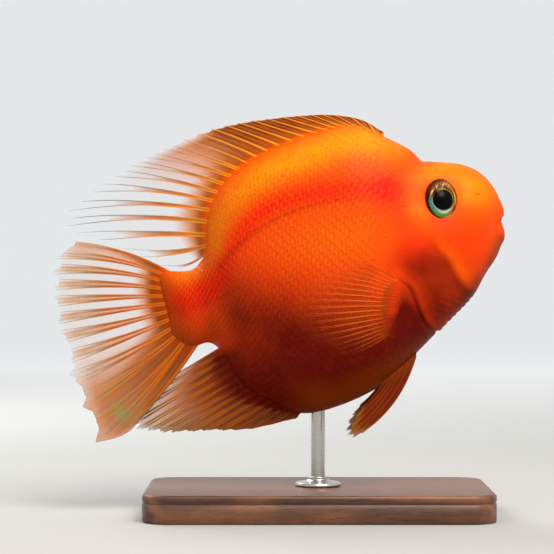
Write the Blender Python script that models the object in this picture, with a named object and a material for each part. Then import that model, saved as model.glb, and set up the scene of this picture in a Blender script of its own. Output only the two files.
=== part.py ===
"""Blood parrot cichlid, an adult swimming nose-up, as a life-size still model on a display stand.

Metres, +Z up, the fish facing +X and leaning on nothing but its rod. The origin is the centre of
the base's underside. The fish is drawn level in its own frame (x forward, y to its left, z up),
and an empty called fish_pose tips it nose-up and lifts it over the base.

The body is one lofted surface whose rings run round the mouth, so a ring is a slanted slice from
a point on the back to a point on the belly. It is parted by thin cuts at the snout, at the hind
edge of the gill covers and where the tail stalk starts. Each fin is a fan of rays between a root
line and a margin line, thick at its rays and thin between them.
"""

import math
from typing import NamedTuple

import bmesh
import bpy
import numpy as np

# The pose and the stand.
NOSE_UP = math.radians(13)  # tilt of the fish's long axis
FISH_HEIGHT = 0.110  # from the floor to the fish frame's origin
GAP = 0.0003  # clearance that touching pieces keep
BASE_LENGTH = 0.150
BASE_WIDTH = 0.084
BASE_THICKNESS = 0.012
BASE_CORNER = 0.012
BASE_EDGE = 0.0015
BASE_SOCKET_DEPTH = 0.008
ROD_RADIUS = 0.003
ROD_IN_BODY = 0.020  # how deep the rod stands in the belly
BELLY_OVER_FLOOR = 0.0440  # height of the belly where the rod enters it
COLLAR_RADIUS = 0.010
COLLAR_HEIGHT = 0.004

SIDES = ((-1, "right"), (1, "left"))

# The search for the skin's width: its steps, the change that gives a slope, and how near to the
# back and the belly it goes.
SEARCH_STEPS = 60
NUDGE = 1e-5
POLE = 0.05

# How finely the solids are cut into facets.
BODY_SIDES = 28
FIN_ROWS = 4
ROD_SIDES = 24
EYE_SIDES = 16
EYE_RINGS = 8
GILL_SIDES = 40


# The stretches of the body between its cuts: first and last slice, and bands of facets.
HEAD_STRETCH = ("brow", "gill_edge", 9)
TRUNK_STRETCH = ("gill_edge", "stalk_start", 16)
STALK_STRETCH = ("stalk_start", "tail_tip", 8)


class Station(NamedTuple):
    """A slice of the body: its points on the back and the belly (x, z), its half width, and how
    far its flanks lie behind the straight line between those two points."""

    name: str
    back: tuple
    belly: tuple
    half_width: float
    sweep: float


STATIONS = (
    Station("mouth_rim", (0.0828, 0.0014), (0.0816, -0.0016), 0.0034, 0.0026),
    Station("lip_crest", (0.0844, 0.0036), (0.0822, -0.0068), 0.0056, 0.0034),
    Station("lip_root", (0.0839, 0.0080), (0.0800, -0.0108), 0.0080, 0.0040),
    Station("snout", (0.0828, 0.0128), (0.0764, -0.0156), 0.0107, 0.0036),
    Station("forehead", (0.0792, 0.0206), (0.0706, -0.0212), 0.0140, 0.0022),
    Station("brow", (0.0722, 0.0265), (0.0640, -0.0286), 0.0168, 0.0012),
    Station("eye", (0.0625, 0.0303), (0.0560, -0.0344), 0.0194, 0.0024),
    Station("nape", (0.0546, 0.0329), (0.0486, -0.0390), 0.0215, 0.0068),
    Station("hump_foot", (0.0512, 0.0362), (0.0442, -0.0414), 0.0230, 0.0112),
    Station("gill_edge", (0.0462, 0.0424), (0.0402, -0.0440), 0.0242, 0.0125),
    Station("shoulder", (0.0395, 0.0477), (0.0330, -0.0486), 0.0251, 0.0095),
    Station("hump", (0.0300, 0.0540), (0.0230, -0.0550), 0.0259, 0.0055),
    Station("crown", (0.0110, 0.0556), (0.0070, -0.0612), 0.0261, 0.0015),
    Station("back", (-0.0080, 0.0534), (-0.0100, -0.0638), 0.0245, 0.0),
    Station("rear_back", (-0.0240, 0.0484), (-0.0230, -0.0624), 0.0213, 0.0),
    Station("rump", (-0.0362, 0.0405), (-0.0350, -0.0545), 0.0169, 0.0),
    Station("fin_end", (-0.0440, 0.0280), (-0.0452, -0.0440), 0.0125, 0.0),
    Station("stalk_start", (-0.0474, 0.0152), (-0.0494, -0.0300), 0.0096, 0.0),
    Station("stalk", (-0.0530, 0.0096), (-0.0540, -0.0236), 0.0074, 0.0),
    Station("stalk_end", (-0.0600, 0.0098), (-0.0600, -0.0238), 0.0057, 0.0),
    Station("tail_root", (-0.0670, 0.0120), (-0.0660, -0.0215), 0.0038, -0.0030),
    Station("tail_tip", (-0.0740, 0.0040), (-0.0735, -0.0100), 0.0014, -0.0020),
)
EGG = -0.06  # negative puts a slice's widest point a little below its middle
FULLNESS = 0.10  # how much fuller a slice's shoulders are than an ellipse's
MOUTH_DEPTH = 0.009
GAPE_AT = (0.0826, 0, 0.0)  # between the lips
GAPE_SLANT = math.radians(50)  # how steeply the gape runs down and back
JAW_SPAN = 0.060  # size of the boxes that keep one jaw or the other
MUZZLE_BANDS = 9

# The eye: its middle on the side of the head, and the half axes of its flattened globe.
EYE_AT = (0.0586, 0.0151)
EYE_LENGTH = 0.0076
EYE_HEIGHT = 0.0086
EYE_DEPTH = 0.0052
EYE_SUNK = 0.0024  # how far the globe's middle lies under the skin
EYE_FORWARD = math.radians(24)
EYE_UP = math.radians(6)

# The gill cover's outline on the side of the head, an ellipse, and how deep it is cut.
GILL_AT = (0.0350, -0.0105)
GILL_LENGTH = 0.0205
GILL_HEIGHT = 0.0235
GILL_INNER = 0.0150  # how far its inner face lies from the midplane
GILL_REACH = 0.030  # how far the block reaches out from there, past the skin


class Ray(NamedTuple):
    """A guide ray of a fin: where it lies along the fin from 0 to 1, its root and tip (x, z), and
    how far its middle bows off the straight line between them."""

    along: float
    root: tuple
    tip: tuple
    bow: float = 0.0


class Fin(NamedTuple):
    """A fan of rays, on the midplane or, if it is one of a pair, on the flank. It slants outwards
    by `spread` and curls by `curl` of its ray length."""

    name: str
    rays: int
    guides: tuple
    root_thickness: float
    ray_thickness: float
    scallop: float
    paired: bool = False
    spread: float = 0.0
    curl: float = 0.0


MEMBRANE = 0.0006  # thickness between the rays, at the margin
TAPER = 0.35  # share of its thickness that a ray loses by its tip
FIN_SUNK = 0.0012  # how far a fin's root starts under the skin
FINS = (
    Fin(
        "dorsal_fin", 25,
        (
            Ray(0.00, (0.0404, 0.0472), (0.0402, 0.0486)),
            Ray(0.03, (0.0378, 0.0493), (0.0381, 0.0527)),
            Ray(0.07, (0.0345, 0.0516), (0.0337, 0.0562)),
            Ray(0.12, (0.0303, 0.0537), (0.0250, 0.0600)),
            Ray(0.20, (0.0236, 0.0557), (0.0140, 0.0628)),
            Ray(0.38, (0.0046, 0.0553), (-0.0143, 0.0666)),
            Ray(0.55, (-0.0173, 0.0509), (-0.0394, 0.0662), 0.0006),
            Ray(0.68, (-0.0312, 0.0450), (-0.0634, 0.0612), 0.0010),
            Ray(0.78, (-0.0391, 0.0377), (-0.0830, 0.0544), 0.0016),
            Ray(0.86, (-0.0434, 0.0302), (-0.1026, 0.0436), 0.0022),
            Ray(0.91, (-0.0457, 0.0236), (-0.0985, 0.0356), 0.0018),
            Ray(0.96, (-0.0472, 0.0176), (-0.0770, 0.0228), -0.0008),
            Ray(1.00, (-0.0482, 0.0136), (-0.0620, 0.0127), -0.0010),
        ),
        0.0022, 0.0013, 0.030, curl=-0.055,
    ),
    Fin(
        "anal_fin", 15,
        (
            Ray(0.00, (-0.0226, -0.0629), (-0.0250, -0.0644)),
            Ray(0.15, (-0.0296, -0.0590), (-0.0455, -0.0649)),
            Ray(0.30, (-0.0356, -0.0545), (-0.0593, -0.0622)),
            Ray(0.45, (-0.0413, -0.0492), (-0.0735, -0.0598)),
            Ray(0.60, (-0.0457, -0.0441), (-0.0863, -0.0569)),
            Ray(0.75, (-0.0482, -0.0372), (-0.0950, -0.0528)),
            Ray(0.87, (-0.0494, -0.0317), (-0.0890, -0.0440)),
            Ray(1.00, (-0.0506, -0.0268), (-0.0740, -0.0345)),
        ),
        0.0022, 0.0013, 0.030, curl=0.110,
    ),
    Fin(
        "tail_fin", 17,
        (
            Ray(0.00, (-0.0676, 0.0128), (-0.1054, 0.0338), 0.0026),
            Ray(0.15, (-0.0722, 0.0097), (-0.1136, 0.0253), 0.0018),
            Ray(0.30, (-0.0746, 0.0042), (-0.1170, 0.0144), 0.0008),
            Ray(0.45, (-0.0752, -0.0024), (-0.1193, 0.0024)),
            Ray(0.60, (-0.0742, -0.0093), (-0.1182, -0.0122), -0.0006),
            Ray(0.75, (-0.0715, -0.0155), (-0.1160, -0.0280), -0.0014),
            Ray(0.88, (-0.0682, -0.0207), (-0.1142, -0.0460), -0.0020),
            Ray(0.95, (-0.0648, -0.0233), (-0.1094, -0.0569), -0.0024),
            Ray(1.00, (-0.0610, -0.0250), (-0.0984, -0.0547), -0.0012),
        ),
        0.0024, 0.0012, 0.020,
    ),
    Fin(
        "pectoral_fin", 14,
        (
            Ray(0.0, (0.0304, -0.0156), (0.0150, -0.0012), 0.0008),
            Ray(0.2, (0.0290, -0.0193), (-0.0042, -0.0026), 0.0010),
            Ray(0.4, (0.0274, -0.0236), (-0.0155, -0.0108), 0.0008),
            Ray(0.6, (0.0260, -0.0280), (-0.0187, -0.0226)),
            Ray(0.8, (0.0248, -0.0327), (-0.0116, -0.0346), -0.0006),
            Ray(1.0, (0.0240, -0.0373), (0.0024, -0.0423), -0.0010),
        ),
        0.0024, 0.0011, 0.020, paired=True, spread=0.26, curl=-0.05,
    ),
    Fin(
        "pelvic_fin", 6,
        (
            Ray(0.00, (0.0330, -0.0478), (-0.0006, -0.0763), -0.0036),
            Ray(0.30, (0.0290, -0.0500), (-0.0054, -0.0774), -0.0030),
            Ray(0.65, (0.0235, -0.0530), (-0.0024, -0.0716), -0.0020),
            Ray(1.00, (0.0165, -0.0565), (0.0036, -0.0658), -0.0008),
        ),
        0.0030, 0.0015, 0.030, paired=True, spread=0.14, curl=0.04,
    ),
)

SKIN_ORANGE = (0.90, 0.17, 0.02)
FIN_ORANGE = (0.80, 0.24, 0.05)
EYE_GREEN = (0.05, 0.16, 0.10)
WALNUT = (0.10, 0.045, 0.02)
STEEL = (0.62, 0.62, 0.60)


def smooth_curve(knots, values):
    """The natural cubic spline through values, one row for each knot, as a function of the knot's
    own measure."""
    knots = np.asarray(knots, float)
    values = np.asarray(values, float)
    count = len(knots)
    step = np.diff(knots)
    system = np.eye(count)
    pull = np.zeros_like(values)
    for i in range(1, count - 1):
        system[i, i - 1 : i + 2] = step[i - 1], 2 * (step[i - 1] + step[i]), step[i]
        rise, before = (values[i + 1] - values[i]) / step[i], (values[i] - values[i - 1]) / step[i - 1]
        pull[i] = 6 * (rise - before)
    bend = np.linalg.solve(system, pull)

    def at(t):
        i = min(max(int(np.searchsorted(knots, t, side="right")) - 1, 0), count - 2)
        late = (t - knots[i]) / step[i]
        early = 1 - late
        sag = ((early**3 - early) * bend[i] + (late**3 - late) * bend[i + 1]) * step[i] ** 2 / 6
        return early * values[i] + late * values[i + 1] + sag

    return at


def station_distances():
    """How far each station lies from the mouth, along the mean of the back and the belly."""
    backs = np.array([s.back for s in STATIONS])
    bellies = np.array([s.belly for s in STATIONS])
    steps = np.linalg.norm(np.diff(backs, axis=0), axis=1) + np.linalg.norm(np.diff(bellies, axis=0), axis=1)
    return np.concatenate([[0.0], np.cumsum(steps / 2)])


DISTANCES = station_distances()
STATION_AT = {s.name: d for s, d in zip(STATIONS, DISTANCES)}
BODY_CURVE = smooth_curve(DISTANCES, [[*s.back, *s.belly, s.half_width, s.sweep] for s in STATIONS])


def slice_point(distance, angle, reach=1.0, ahead=0.0):
    """A point of the slice at this distance from the mouth. The angle runs from the back (0) over
    the left flank; reach 1 is the skin and 0 the slice's middle."""
    back_x, back_z, belly_x, belly_z, half_width, sweep = BODY_CURVE(distance)
    up = reach * math.cos(angle)
    out = reach * math.sin(angle)
    x = (back_x + belly_x) / 2 + up * (back_x - belly_x) / 2 - sweep * out * out + ahead
    y = half_width * out * (1 + EGG * up + FULLNESS * up * up)
    z = (back_z + belly_z) / 2 + up * (back_z - belly_z) / 2
    return x, y, z


def slice_ring(distance, reach=1.0, ahead=0.0):
    """The slice's points, once round the body from the back over the left flank."""
    angles = (2 * math.pi * i / BODY_SIDES for i in range(BODY_SIDES))
    return [slice_point(distance, angle, reach, ahead) for angle in angles]


def skin_y(x, z):
    """Half the body's width at a point of its side view: damped Newton steps narrow in on the
    slice and the angle whose point lies there."""
    distance, angle = DISTANCES.mean(), math.pi / 2
    for _ in range(SEARCH_STEPS):
        here = np.array(slice_point(distance, angle))
        miss = (x - here[0], z - here[2])
        along = (np.array(slice_point(distance + NUDGE, angle)) - here) / NUDGE
        around = (np.array(slice_point(distance, angle + NUDGE)) - here) / NUDGE
        change = np.linalg.solve([[along[0], around[0]], [along[2], around[2]]], miss)
        distance = np.clip(distance + change[0] / 2, DISTANCES[0], DISTANCES[-1])
        angle = np.clip(angle + change[1] / 2, POLE, math.pi - POLE)
    return slice_point(distance, angle)[1]


def clear_scene():
    """Empties the scene and returns the empty that holds the fish in its pose."""
    for old in list(bpy.data.objects):
        bpy.data.objects.remove(old)
    pose = bpy.data.objects.new("fish_pose", None)
    pose.location = (0, 0, FISH_HEIGHT)
    pose.rotation_euler = (0, -NOSE_UP, 0)
    bpy.context.scene.collection.objects.link(pose)
    return pose


def finish(name, color, roughness, metallic=0.0):
    """A plain material with the piece's colour."""
    material = bpy.data.materials.new(name)
    material.use_nodes = True
    shader = material.node_tree.nodes["Principled BSDF"]
    shader.inputs["Base Color"].default_value = (*color, 1)
    shader.inputs["Roughness"].default_value = roughness
    shader.inputs["Metallic"].default_value = metallic
    return material


def add_object(name, mesh_maker, material=None, parent=None, location=(0, 0, 0)):
    """A new object whose bmesh the maker fills, with its normals facing out."""
    mesh = bpy.data.meshes.new(name)
    shape = bmesh.new()
    mesh_maker(shape)
    bmesh.ops.recalc_face_normals(shape, faces=shape.faces)
    shape.to_mesh(mesh)
    shape.free()
    mesh.shade_smooth()
    mesh.set_sharp_from_angle(angle=math.radians(40))
    piece = bpy.data.objects.new(name, mesh)
    piece.location = location
    piece.parent = parent
    if material:
        mesh.materials.append(material)
    bpy.context.scene.collection.objects.link(piece)
    return piece


def helper(piece):
    """Marks a cutter, so that it isn't part of the model."""
    piece.hide_render = True
    piece.display_type = "WIRE"
    return piece


def cut(piece, cutter, operation="DIFFERENCE"):
    """Cuts the piece by another with the exact solver."""
    modifier = piece.modifiers.new(f"{operation.lower()}_{cutter.name}", "BOOLEAN")
    modifier.operation = operation
    modifier.solver = "EXACT"
    modifier.object = cutter


def loft(rings):
    """A maker that joins rings of equal count, where a ring of one point is a pole."""

    def make(shape):
        loops = [[shape.verts.new(point) for point in ring] for ring in rings]
        for one, other in zip(loops, loops[1:]):
            for i in range(BODY_SIDES):
                j = (i + 1) % BODY_SIDES
                if len(one) == 1:
                    shape.faces.new((one[0], other[i], other[j]))
                elif len(other) == 1:
                    shape.faces.new((one[i], other[0], one[j]))
                else:
                    shape.faces.new((one[i], other[i], other[j], one[j]))

    return make


def slice_middle(distance, ahead=0.0):
    """The pole that closes a stretch of the body with a fan of triangles, which the stretch on
    the other side of the cut repeats exactly."""
    return [slice_point(distance, 0.0, 0.0, ahead)]


def distances_between(first, last, bands):
    """Slice distances from one station to another, evenly spaced."""
    return np.linspace(STATION_AT[first], STATION_AT[last], bands + 1)


def mouth_rings():
    """The inside of the mouth, from its back wall out to the rim."""
    rim = np.array(slice_ring(STATION_AT["mouth_rim"]))
    middle = rim.mean(axis=0) - (MOUTH_DEPTH, 0, 0)
    rings = [[tuple(middle)]]
    for share in (0.35, 0.80):
        drawn = rim * share + middle * (1 - share)
        rings.append([tuple(point) for point in drawn])
    return rings


def muzzle_rings():
    """The front of the face: the mouth's inside, the lips, the snout and the chin."""
    skin = [slice_ring(d) for d in distances_between("mouth_rim", "brow", MUZZLE_BANDS)]
    return [*mouth_rings(), *skin, slice_middle(STATION_AT["brow"])]


def stretch_rings(first, last, bands):
    """A stretch of the body, closed at both ends, that starts a clearance behind its slice."""
    distances = distances_between(first, last, bands)
    start = slice_ring(distances[0], ahead=-GAP)
    skin = [slice_ring(d) for d in distances[1:]]
    return [slice_middle(distances[0], -GAP), start, *skin, slice_middle(distances[-1])]


def eye_frame(side):
    """Where the eye's middle lies, and how far it is turned forward and up."""
    x, z = EYE_AT
    sink = EYE_SUNK * math.cos(EYE_FORWARD)
    at = (x - EYE_SUNK * math.sin(EYE_FORWARD), side * (skin_y(x, z) - sink), z)
    turn = (side * EYE_UP, 0, -side * EYE_FORWARD)
    return at, turn


def eye_globe(name, side, grow, material, pose):
    """The flattened globe of one eye, or the socket cutter if it is grown."""

    def make(shape):
        bmesh.ops.create_uvsphere(shape, u_segments=EYE_SIDES, v_segments=EYE_RINGS, radius=1.0)
        axes = (EYE_LENGTH + grow, EYE_DEPTH + grow, EYE_HEIGHT + grow)
        bmesh.ops.scale(shape, vec=axes, verts=shape.verts)

    at, turn = eye_frame(side)
    globe = add_object(name, make, material, pose, at)
    globe.rotation_euler = turn
    return globe


def gill_prism(name, side, grow, pose):
    """The elliptical block that parts the gill cover from the head, reaching out from the flank."""

    def make(shape):
        corners = []
        for i in range(GILL_SIDES):
            angle = 2 * math.pi * i / GILL_SIDES
            x = GILL_AT[0] + (GILL_LENGTH + grow) * math.cos(angle)
            z = GILL_AT[1] + (GILL_HEIGHT + grow) * math.sin(angle)
            corners.append(shape.verts.new((x, side * (GILL_INNER - grow), z)))
        wall = shape.faces.new(corners)
        pushed = bmesh.ops.extrude_face_region(shape, geom=[wall])["geom"]
        moved = [v for v in pushed if isinstance(v, bmesh.types.BMVert)]
        bmesh.ops.translate(shape, verts=moved, vec=(0, side * GILL_REACH, 0))

    return helper(add_object(name, make, parent=pose))


def half_space(name, side, pose):
    """A box on one side of the gape, the slanting plane through the mouth that parts the jaws."""

    def make(shape):
        bmesh.ops.create_cube(shape, size=JAW_SPAN)
        bmesh.ops.translate(shape, vec=(0, 0, side * (JAW_SPAN + GAP) / 2), verts=shape.verts)

    box = helper(add_object(name, make, parent=pose, location=GAPE_AT))
    box.rotation_euler = (0, -GAPE_SLANT, 0)
    return box


def upright_rod(name, grow, material=None):
    """The rod, from its socket in the base up into the belly, or the cutter of its holes if it is
    grown."""
    bottom = BASE_THICKNESS - BASE_SOCKET_DEPTH - grow
    top = BELLY_OVER_FLOOR + ROD_IN_BODY + grow
    radius = ROD_RADIUS + grow

    def make(shape):
        bmesh.ops.create_cone(
            shape, cap_ends=True, segments=ROD_SIDES,
            radius1=radius, radius2=radius, depth=top - bottom,
        )

    return add_object(name, make, material, location=(0, 0, (top + bottom) / 2))


def add_body(pose, skin, rod_hole):
    """The jaws, head, gill covers, trunk and tail stalk."""
    trunk = add_object("trunk", loft(stretch_rings(*TRUNK_STRETCH)), skin, pose)
    cut(trunk, rod_hole)
    add_object("tail_stalk", loft(stretch_rings(*STALK_STRETCH)), skin, pose)

    above = half_space("above_gape", 1, pose)
    below = half_space("below_gape", -1, pose)
    for name, keep in (("snout", above), ("lower_jaw", below)):
        cut(add_object(name, loft(muzzle_rings()), skin, pose), keep, "INTERSECT")

    head_rings = stretch_rings(*HEAD_STRETCH)
    head = add_object("head", loft(head_rings), skin, pose)
    for side, word in SIDES:
        socket = helper(eye_globe(f"socket_{word}", side, GAP, None, pose))
        cut(head, socket)
        cut(head, gill_prism(f"gill_room_{word}", side, GAP, pose))
        cover = add_object(f"gill_cover_{word}", loft(head_rings), skin, pose)
        cut(cover, gill_prism(f"gill_block_{word}", side, 0.0, pose), "INTERSECT")


def body_cutter(pose):
    """The whole skin, a clearance larger, on which the fins are seated."""
    skin = []
    for first, last, bands in (HEAD_STRETCH, TRUNK_STRETCH, STALK_STRETCH):
        skin += [slice_ring(d) for d in distances_between(first, last, bands)[1:]]
    rings = [slice_middle(STATION_AT["brow"]), slice_ring(STATION_AT["brow"]), *skin]
    rings.append(slice_middle(STATION_AT["tail_tip"]))
    cutter = helper(add_object("body_room", loft(rings), parent=pose))
    grown = bmesh.new()
    grown.from_mesh(cutter.data)
    grown.normal_update()
    for vert in grown.verts:
        vert.co += vert.normal * GAP
    grown.to_mesh(cutter.data)
    grown.free()
    return cutter


def fin_columns(fin):
    """Where the columns of a fin's mesh lie along it, and 1 for a ray or 0 for the skin between."""
    spacing = 1 / (fin.rays - 1)
    return [(i * spacing / 2, 1 - i % 2) for i in range(2 * fin.rays - 1)]


def fin_surface(fin, side):
    """A maker for the fin's middle surface, a grid of columns along it and rows out to its tips.
    The roots start under the skin, for the cutter to trim."""
    alongs = [guide.along for guide in fin.guides]
    rows = [[*guide.root, *guide.tip, guide.bow] for guide in fin.guides]
    plan = smooth_curve(alongs, rows)

    def column(along, on_ray):
        root_x, root_z, tip_x, tip_z, bow = plan(along)
        run, rise = tip_x - root_x, tip_z - root_z
        length = math.hypot(run, rise)
        seat = skin_y(root_x, root_z) if fin.paired else 0.0
        reach = 1.0 if on_ray else 1.0 - fin.scallop
        points = []
        for out in np.linspace(-FIN_SUNK / length, reach, FIN_ROWS + 1):
            hump = 4 * bow * out * (1 - out) / length
            x = root_x + run * out + rise * hump
            z = root_z + rise * out - run * hump
            lift = length * (fin.spread * out + fin.curl * out * out)
            if fin.paired and out < 0:
                lift -= fin.root_thickness / 2
            points.append((x, side * (seat + lift), z))
        return points

    def make(shape):
        grid = []
        for along, on_ray in fin_columns(fin):
            grid.append([shape.verts.new(point) for point in column(along, on_ray)])
        for one, other in zip(grid, grid[1:]):
            for i in range(FIN_ROWS):
                shape.faces.new((one[i], one[i + 1], other[i + 1], other[i]))

    return make


def add_fin(fin, name, side, material, pose, cutter):
    """One fin: its middle surface given thickness, most at the roots and along the rays."""
    piece = add_object(name, fin_surface(fin, side), material, pose)
    weights = piece.vertex_groups.new(name="thickness")
    for i, (_, on_ray) in enumerate(fin_columns(fin)):
        for j in range(FIN_ROWS + 1):
            out = j / FIN_ROWS
            edge = fin.ray_thickness * (1 - TAPER * out) if on_ray else MEMBRANE
            thick = edge + (fin.root_thickness - edge) * (1 - out) ** 3
            weights.add([i * (FIN_ROWS + 1) + j], thick / fin.root_thickness, "REPLACE")
    wall = piece.modifiers.new("wall", "SOLIDIFY")
    wall.thickness = fin.root_thickness
    wall.offset = 0
    wall.vertex_group = "thickness"
    cut(piece, cutter)


def add_fins(pose, material):
    """The fins on the midline, and the paired ones seated on the flanks."""
    room = body_cutter(pose)
    for fin in FINS:
        if fin.paired:
            for side, word in SIDES:
                add_fin(fin, f"{fin.name}_{word}", side, material, pose, room)
        else:
            add_fin(fin, fin.name, 1, material, pose, room)


def add_base(material, rod_hole):
    """The flat wooden base, with round corners and an eased top edge."""

    def make(shape):
        bmesh.ops.create_cube(shape, size=1.0)
        bmesh.ops.scale(shape, vec=(BASE_LENGTH, BASE_WIDTH, BASE_THICKNESS), verts=shape.verts)
        posts = [e for e in shape.edges if abs(e.verts[0].co.z - e.verts[1].co.z) > GAP]
        bmesh.ops.bevel(
            shape, geom=posts, offset=BASE_CORNER, segments=6, profile=0.5, affect="EDGES",
        )
        lid = max(shape.faces, key=lambda face: face.calc_center_median().z)
        bmesh.ops.bevel(
            shape, geom=list(lid.edges), offset=BASE_EDGE, segments=2, profile=0.5, affect="EDGES",
        )

    base = add_object("stand_base", make, material, location=(0, 0, BASE_THICKNESS / 2))
    cut(base, rod_hole)


def add_collar(material):
    """The turned collar that hides the rod's socket: its profile spun about the rod."""
    hole = ROD_RADIUS + GAP
    foot = BASE_THICKNESS + GAP
    profile = (
        (hole, foot),
        (COLLAR_RADIUS, foot),
        (COLLAR_RADIUS, foot + 0.4 * COLLAR_HEIGHT),
        (0.78 * COLLAR_RADIUS, foot + 0.7 * COLLAR_HEIGHT),
        (0.50 * COLLAR_RADIUS, foot + COLLAR_HEIGHT),
        (hole, foot + COLLAR_HEIGHT),
    )

    def make(shape):
        corners = [shape.verts.new((r, 0, z)) for r, z in profile]
        edges = [shape.edges.new((a, b)) for a, b in zip(corners, corners[1:] + corners[:1])]
        bmesh.ops.spin(
            shape, geom=corners + edges, angle=2 * math.pi, steps=ROD_SIDES,
            axis=(0, 0, 1), cent=(0, 0, 0), use_merge=True,
        )

    add_object("stand_collar", make, material)


def main():
    """Builds the fish, then its stand."""
    pose = clear_scene()
    rod_hole = helper(upright_rod("rod_hole", GAP))
    add_body(pose, finish("orange_skin", SKIN_ORANGE, 0.35), rod_hole)
    eye = finish("eye", EYE_GREEN, 0.08)
    for side, word in SIDES:
        eye_globe(f"eye_{word}", side, 0.0, eye, pose)
    add_fins(pose, finish("fin", FIN_ORANGE, 0.40))
    add_base(finish("walnut", WALNUT, 0.45), rod_hole)
    steel = finish("steel", STEEL, 0.25, 1.0)
    upright_rod("stand_rod", 0.0, steel)
    add_collar(steel)


main()
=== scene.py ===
"""Blood parrot cichlid, an adult swimming nose-up: a painted life-size model on a walnut stand.

Metres, +Z up, the fish facing +X. The fish is worked out level in its own frame (x forward, y to
its left, z up), and Pose tips it nose-up over the base. The body is one skin, a loft of slanted
slices with the folds of the head raised and sunk in it. Scales lie over it as thin overlapping
plates, and each fin is a closed sheet whose rays stand out of a thin membrane.
"""

import logging
import math
from collections.abc import Callable
from dataclasses import dataclass
from enum import Enum
from typing import NamedTuple

import bpy
import numpy as np
from bpy.types import Material, Node, NodeSocket, NodeTree, Object
from mathutils import Euler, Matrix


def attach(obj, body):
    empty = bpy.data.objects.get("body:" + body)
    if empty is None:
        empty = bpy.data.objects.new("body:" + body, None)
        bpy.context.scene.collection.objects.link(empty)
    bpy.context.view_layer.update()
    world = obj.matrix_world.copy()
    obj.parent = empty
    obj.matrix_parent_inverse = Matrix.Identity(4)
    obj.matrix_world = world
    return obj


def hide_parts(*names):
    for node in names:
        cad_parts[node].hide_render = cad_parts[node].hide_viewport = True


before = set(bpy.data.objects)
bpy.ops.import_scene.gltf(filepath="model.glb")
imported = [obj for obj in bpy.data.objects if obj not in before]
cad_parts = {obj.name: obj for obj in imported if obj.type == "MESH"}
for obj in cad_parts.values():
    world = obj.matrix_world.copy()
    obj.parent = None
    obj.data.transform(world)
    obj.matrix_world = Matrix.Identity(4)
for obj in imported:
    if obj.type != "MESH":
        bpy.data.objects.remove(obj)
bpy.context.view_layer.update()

log = logging.getLogger("parrot_cichlid")

Array = np.ndarray

MM = 0.001

# The sockets of a Mix node set to colour.
MIX_SHARE, MIX_UNDER, MIX_OVER, MIX_RESULT = 0, 6, 7, 2


class Side(Enum):
    """The two sides of the fish, as the sign of y."""

    RIGHT = -1
    LEFT = 1


class Slot(Enum):
    """Names for the material slots."""

    SKIN = "skin"
    FIN = "fin"
    EYE = "eye"
    WALNUT = "walnut"
    STEEL = "steel"


# ---------------------------------------------------------------- small tools


def linear(hex_colour: str) -> tuple:
    """Turns an sRGB hex colour into linear RGBA.

    Args:
        hex_colour: The colour as "#RRGGBB".

    Returns:
        The linear red, green and blue with an alpha of 1.
    """
    parts = [int(hex_colour[i : i + 2], 16) / 255 for i in (1, 3, 5)]
    return *(p / 12.92 if p <= 0.04045 else ((p + 0.055) / 1.055) ** 2.4 for p in parts), 1.0


def add(tree: NodeTree, kind: str, *values, sockets: dict | None = None, **settings) -> Node:
    """Adds one node, with its settings and the values or links of its inputs.

    Args:
        tree: The node tree.
        kind: The node's type, less the "ShaderNode" in front.
        values: What its first inputs take, in order: a number, a hex colour, the output to link
            from, or the node whose first output it is.
        sockets: The same for inputs by their name or number.
        settings: Properties of the node.

    Returns:
        The new node.
    """
    node = tree.nodes.new("ShaderNode" + kind)
    for name, value in settings.items():
        setattr(node, name, value)
    for key, value in (*enumerate(values), *(sockets or {}).items()):
        value = value.outputs[0] if isinstance(value, Node) else value
        if isinstance(value, NodeSocket):
            tree.links.new(value, node.inputs[key])
        else:
            node.inputs[key].default_value = linear(value) if isinstance(value, str) else value
    return node


def ramp(x: Array, low: float, high: float) -> Array:
    """The smooth step 3t²-2t³ of x from 0 at low to 1 at high."""
    t = np.clip((x - low) / (high - low), 0.0, 1.0)
    return t * t * (3 - 2 * t)


def bell(x: Array, middle: float, width: float) -> Array:
    """The bell exp(-((x-middle)/width)²)."""
    return np.exp(-(((x - middle) / width) ** 2))


def blot(x: Array, z: Array, at: tuple, size: tuple, turn: float = 0.0) -> Array:
    """A soft oval spot on the side view, in millimetres.

    Args:
        x: Forward coordinate.
        z: Upward coordinate.
        at: Middle of the spot (x, z).
        size: Half widths (along, across) where the spot has faded to 1/e.
        turn: How far its long axis is turned up from x, in degrees.

    Returns:
        exp(-(along² + across²)) in the spot's own turned axes.
    """
    cos, sin = math.cos(math.radians(turn)), math.sin(math.radians(turn))
    dx, dz = x - at[0], z - at[1]
    along, across = (dx * cos + dz * sin) / size[0], (-dx * sin + dz * cos) / size[1]
    return np.exp(-(along**2) - across**2)


def blots(x: Array, z: Array, spots: tuple) -> Array:
    """The sum of soft oval spots.

    Args:
        x: Forward coordinate in millimetres.
        z: Upward coordinate in millimetres.
        spots: For each spot its strength, and its place, size and turn as blot takes them.

    Returns:
        The sum, in the order of the spots.
    """
    return sum(strength * blot(x, z, *spot) for strength, *spot in spots)


def unit(vectors: Array) -> Array:
    """The vectors of the last axis at a length of 1."""
    return vectors / (np.linalg.norm(vectors, axis=-1, keepdims=True) + 1e-15)


def dot(one: Array, other: Array) -> Array:
    """The scalar products of two rows of vectors, as a column."""
    return np.einsum("ij,ij->i", one, other)[:, None]


def summed(steps: Array) -> Array:
    """The running sum of the steps, from 0."""
    return np.concatenate([[0.0], np.cumsum(steps)])


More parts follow.
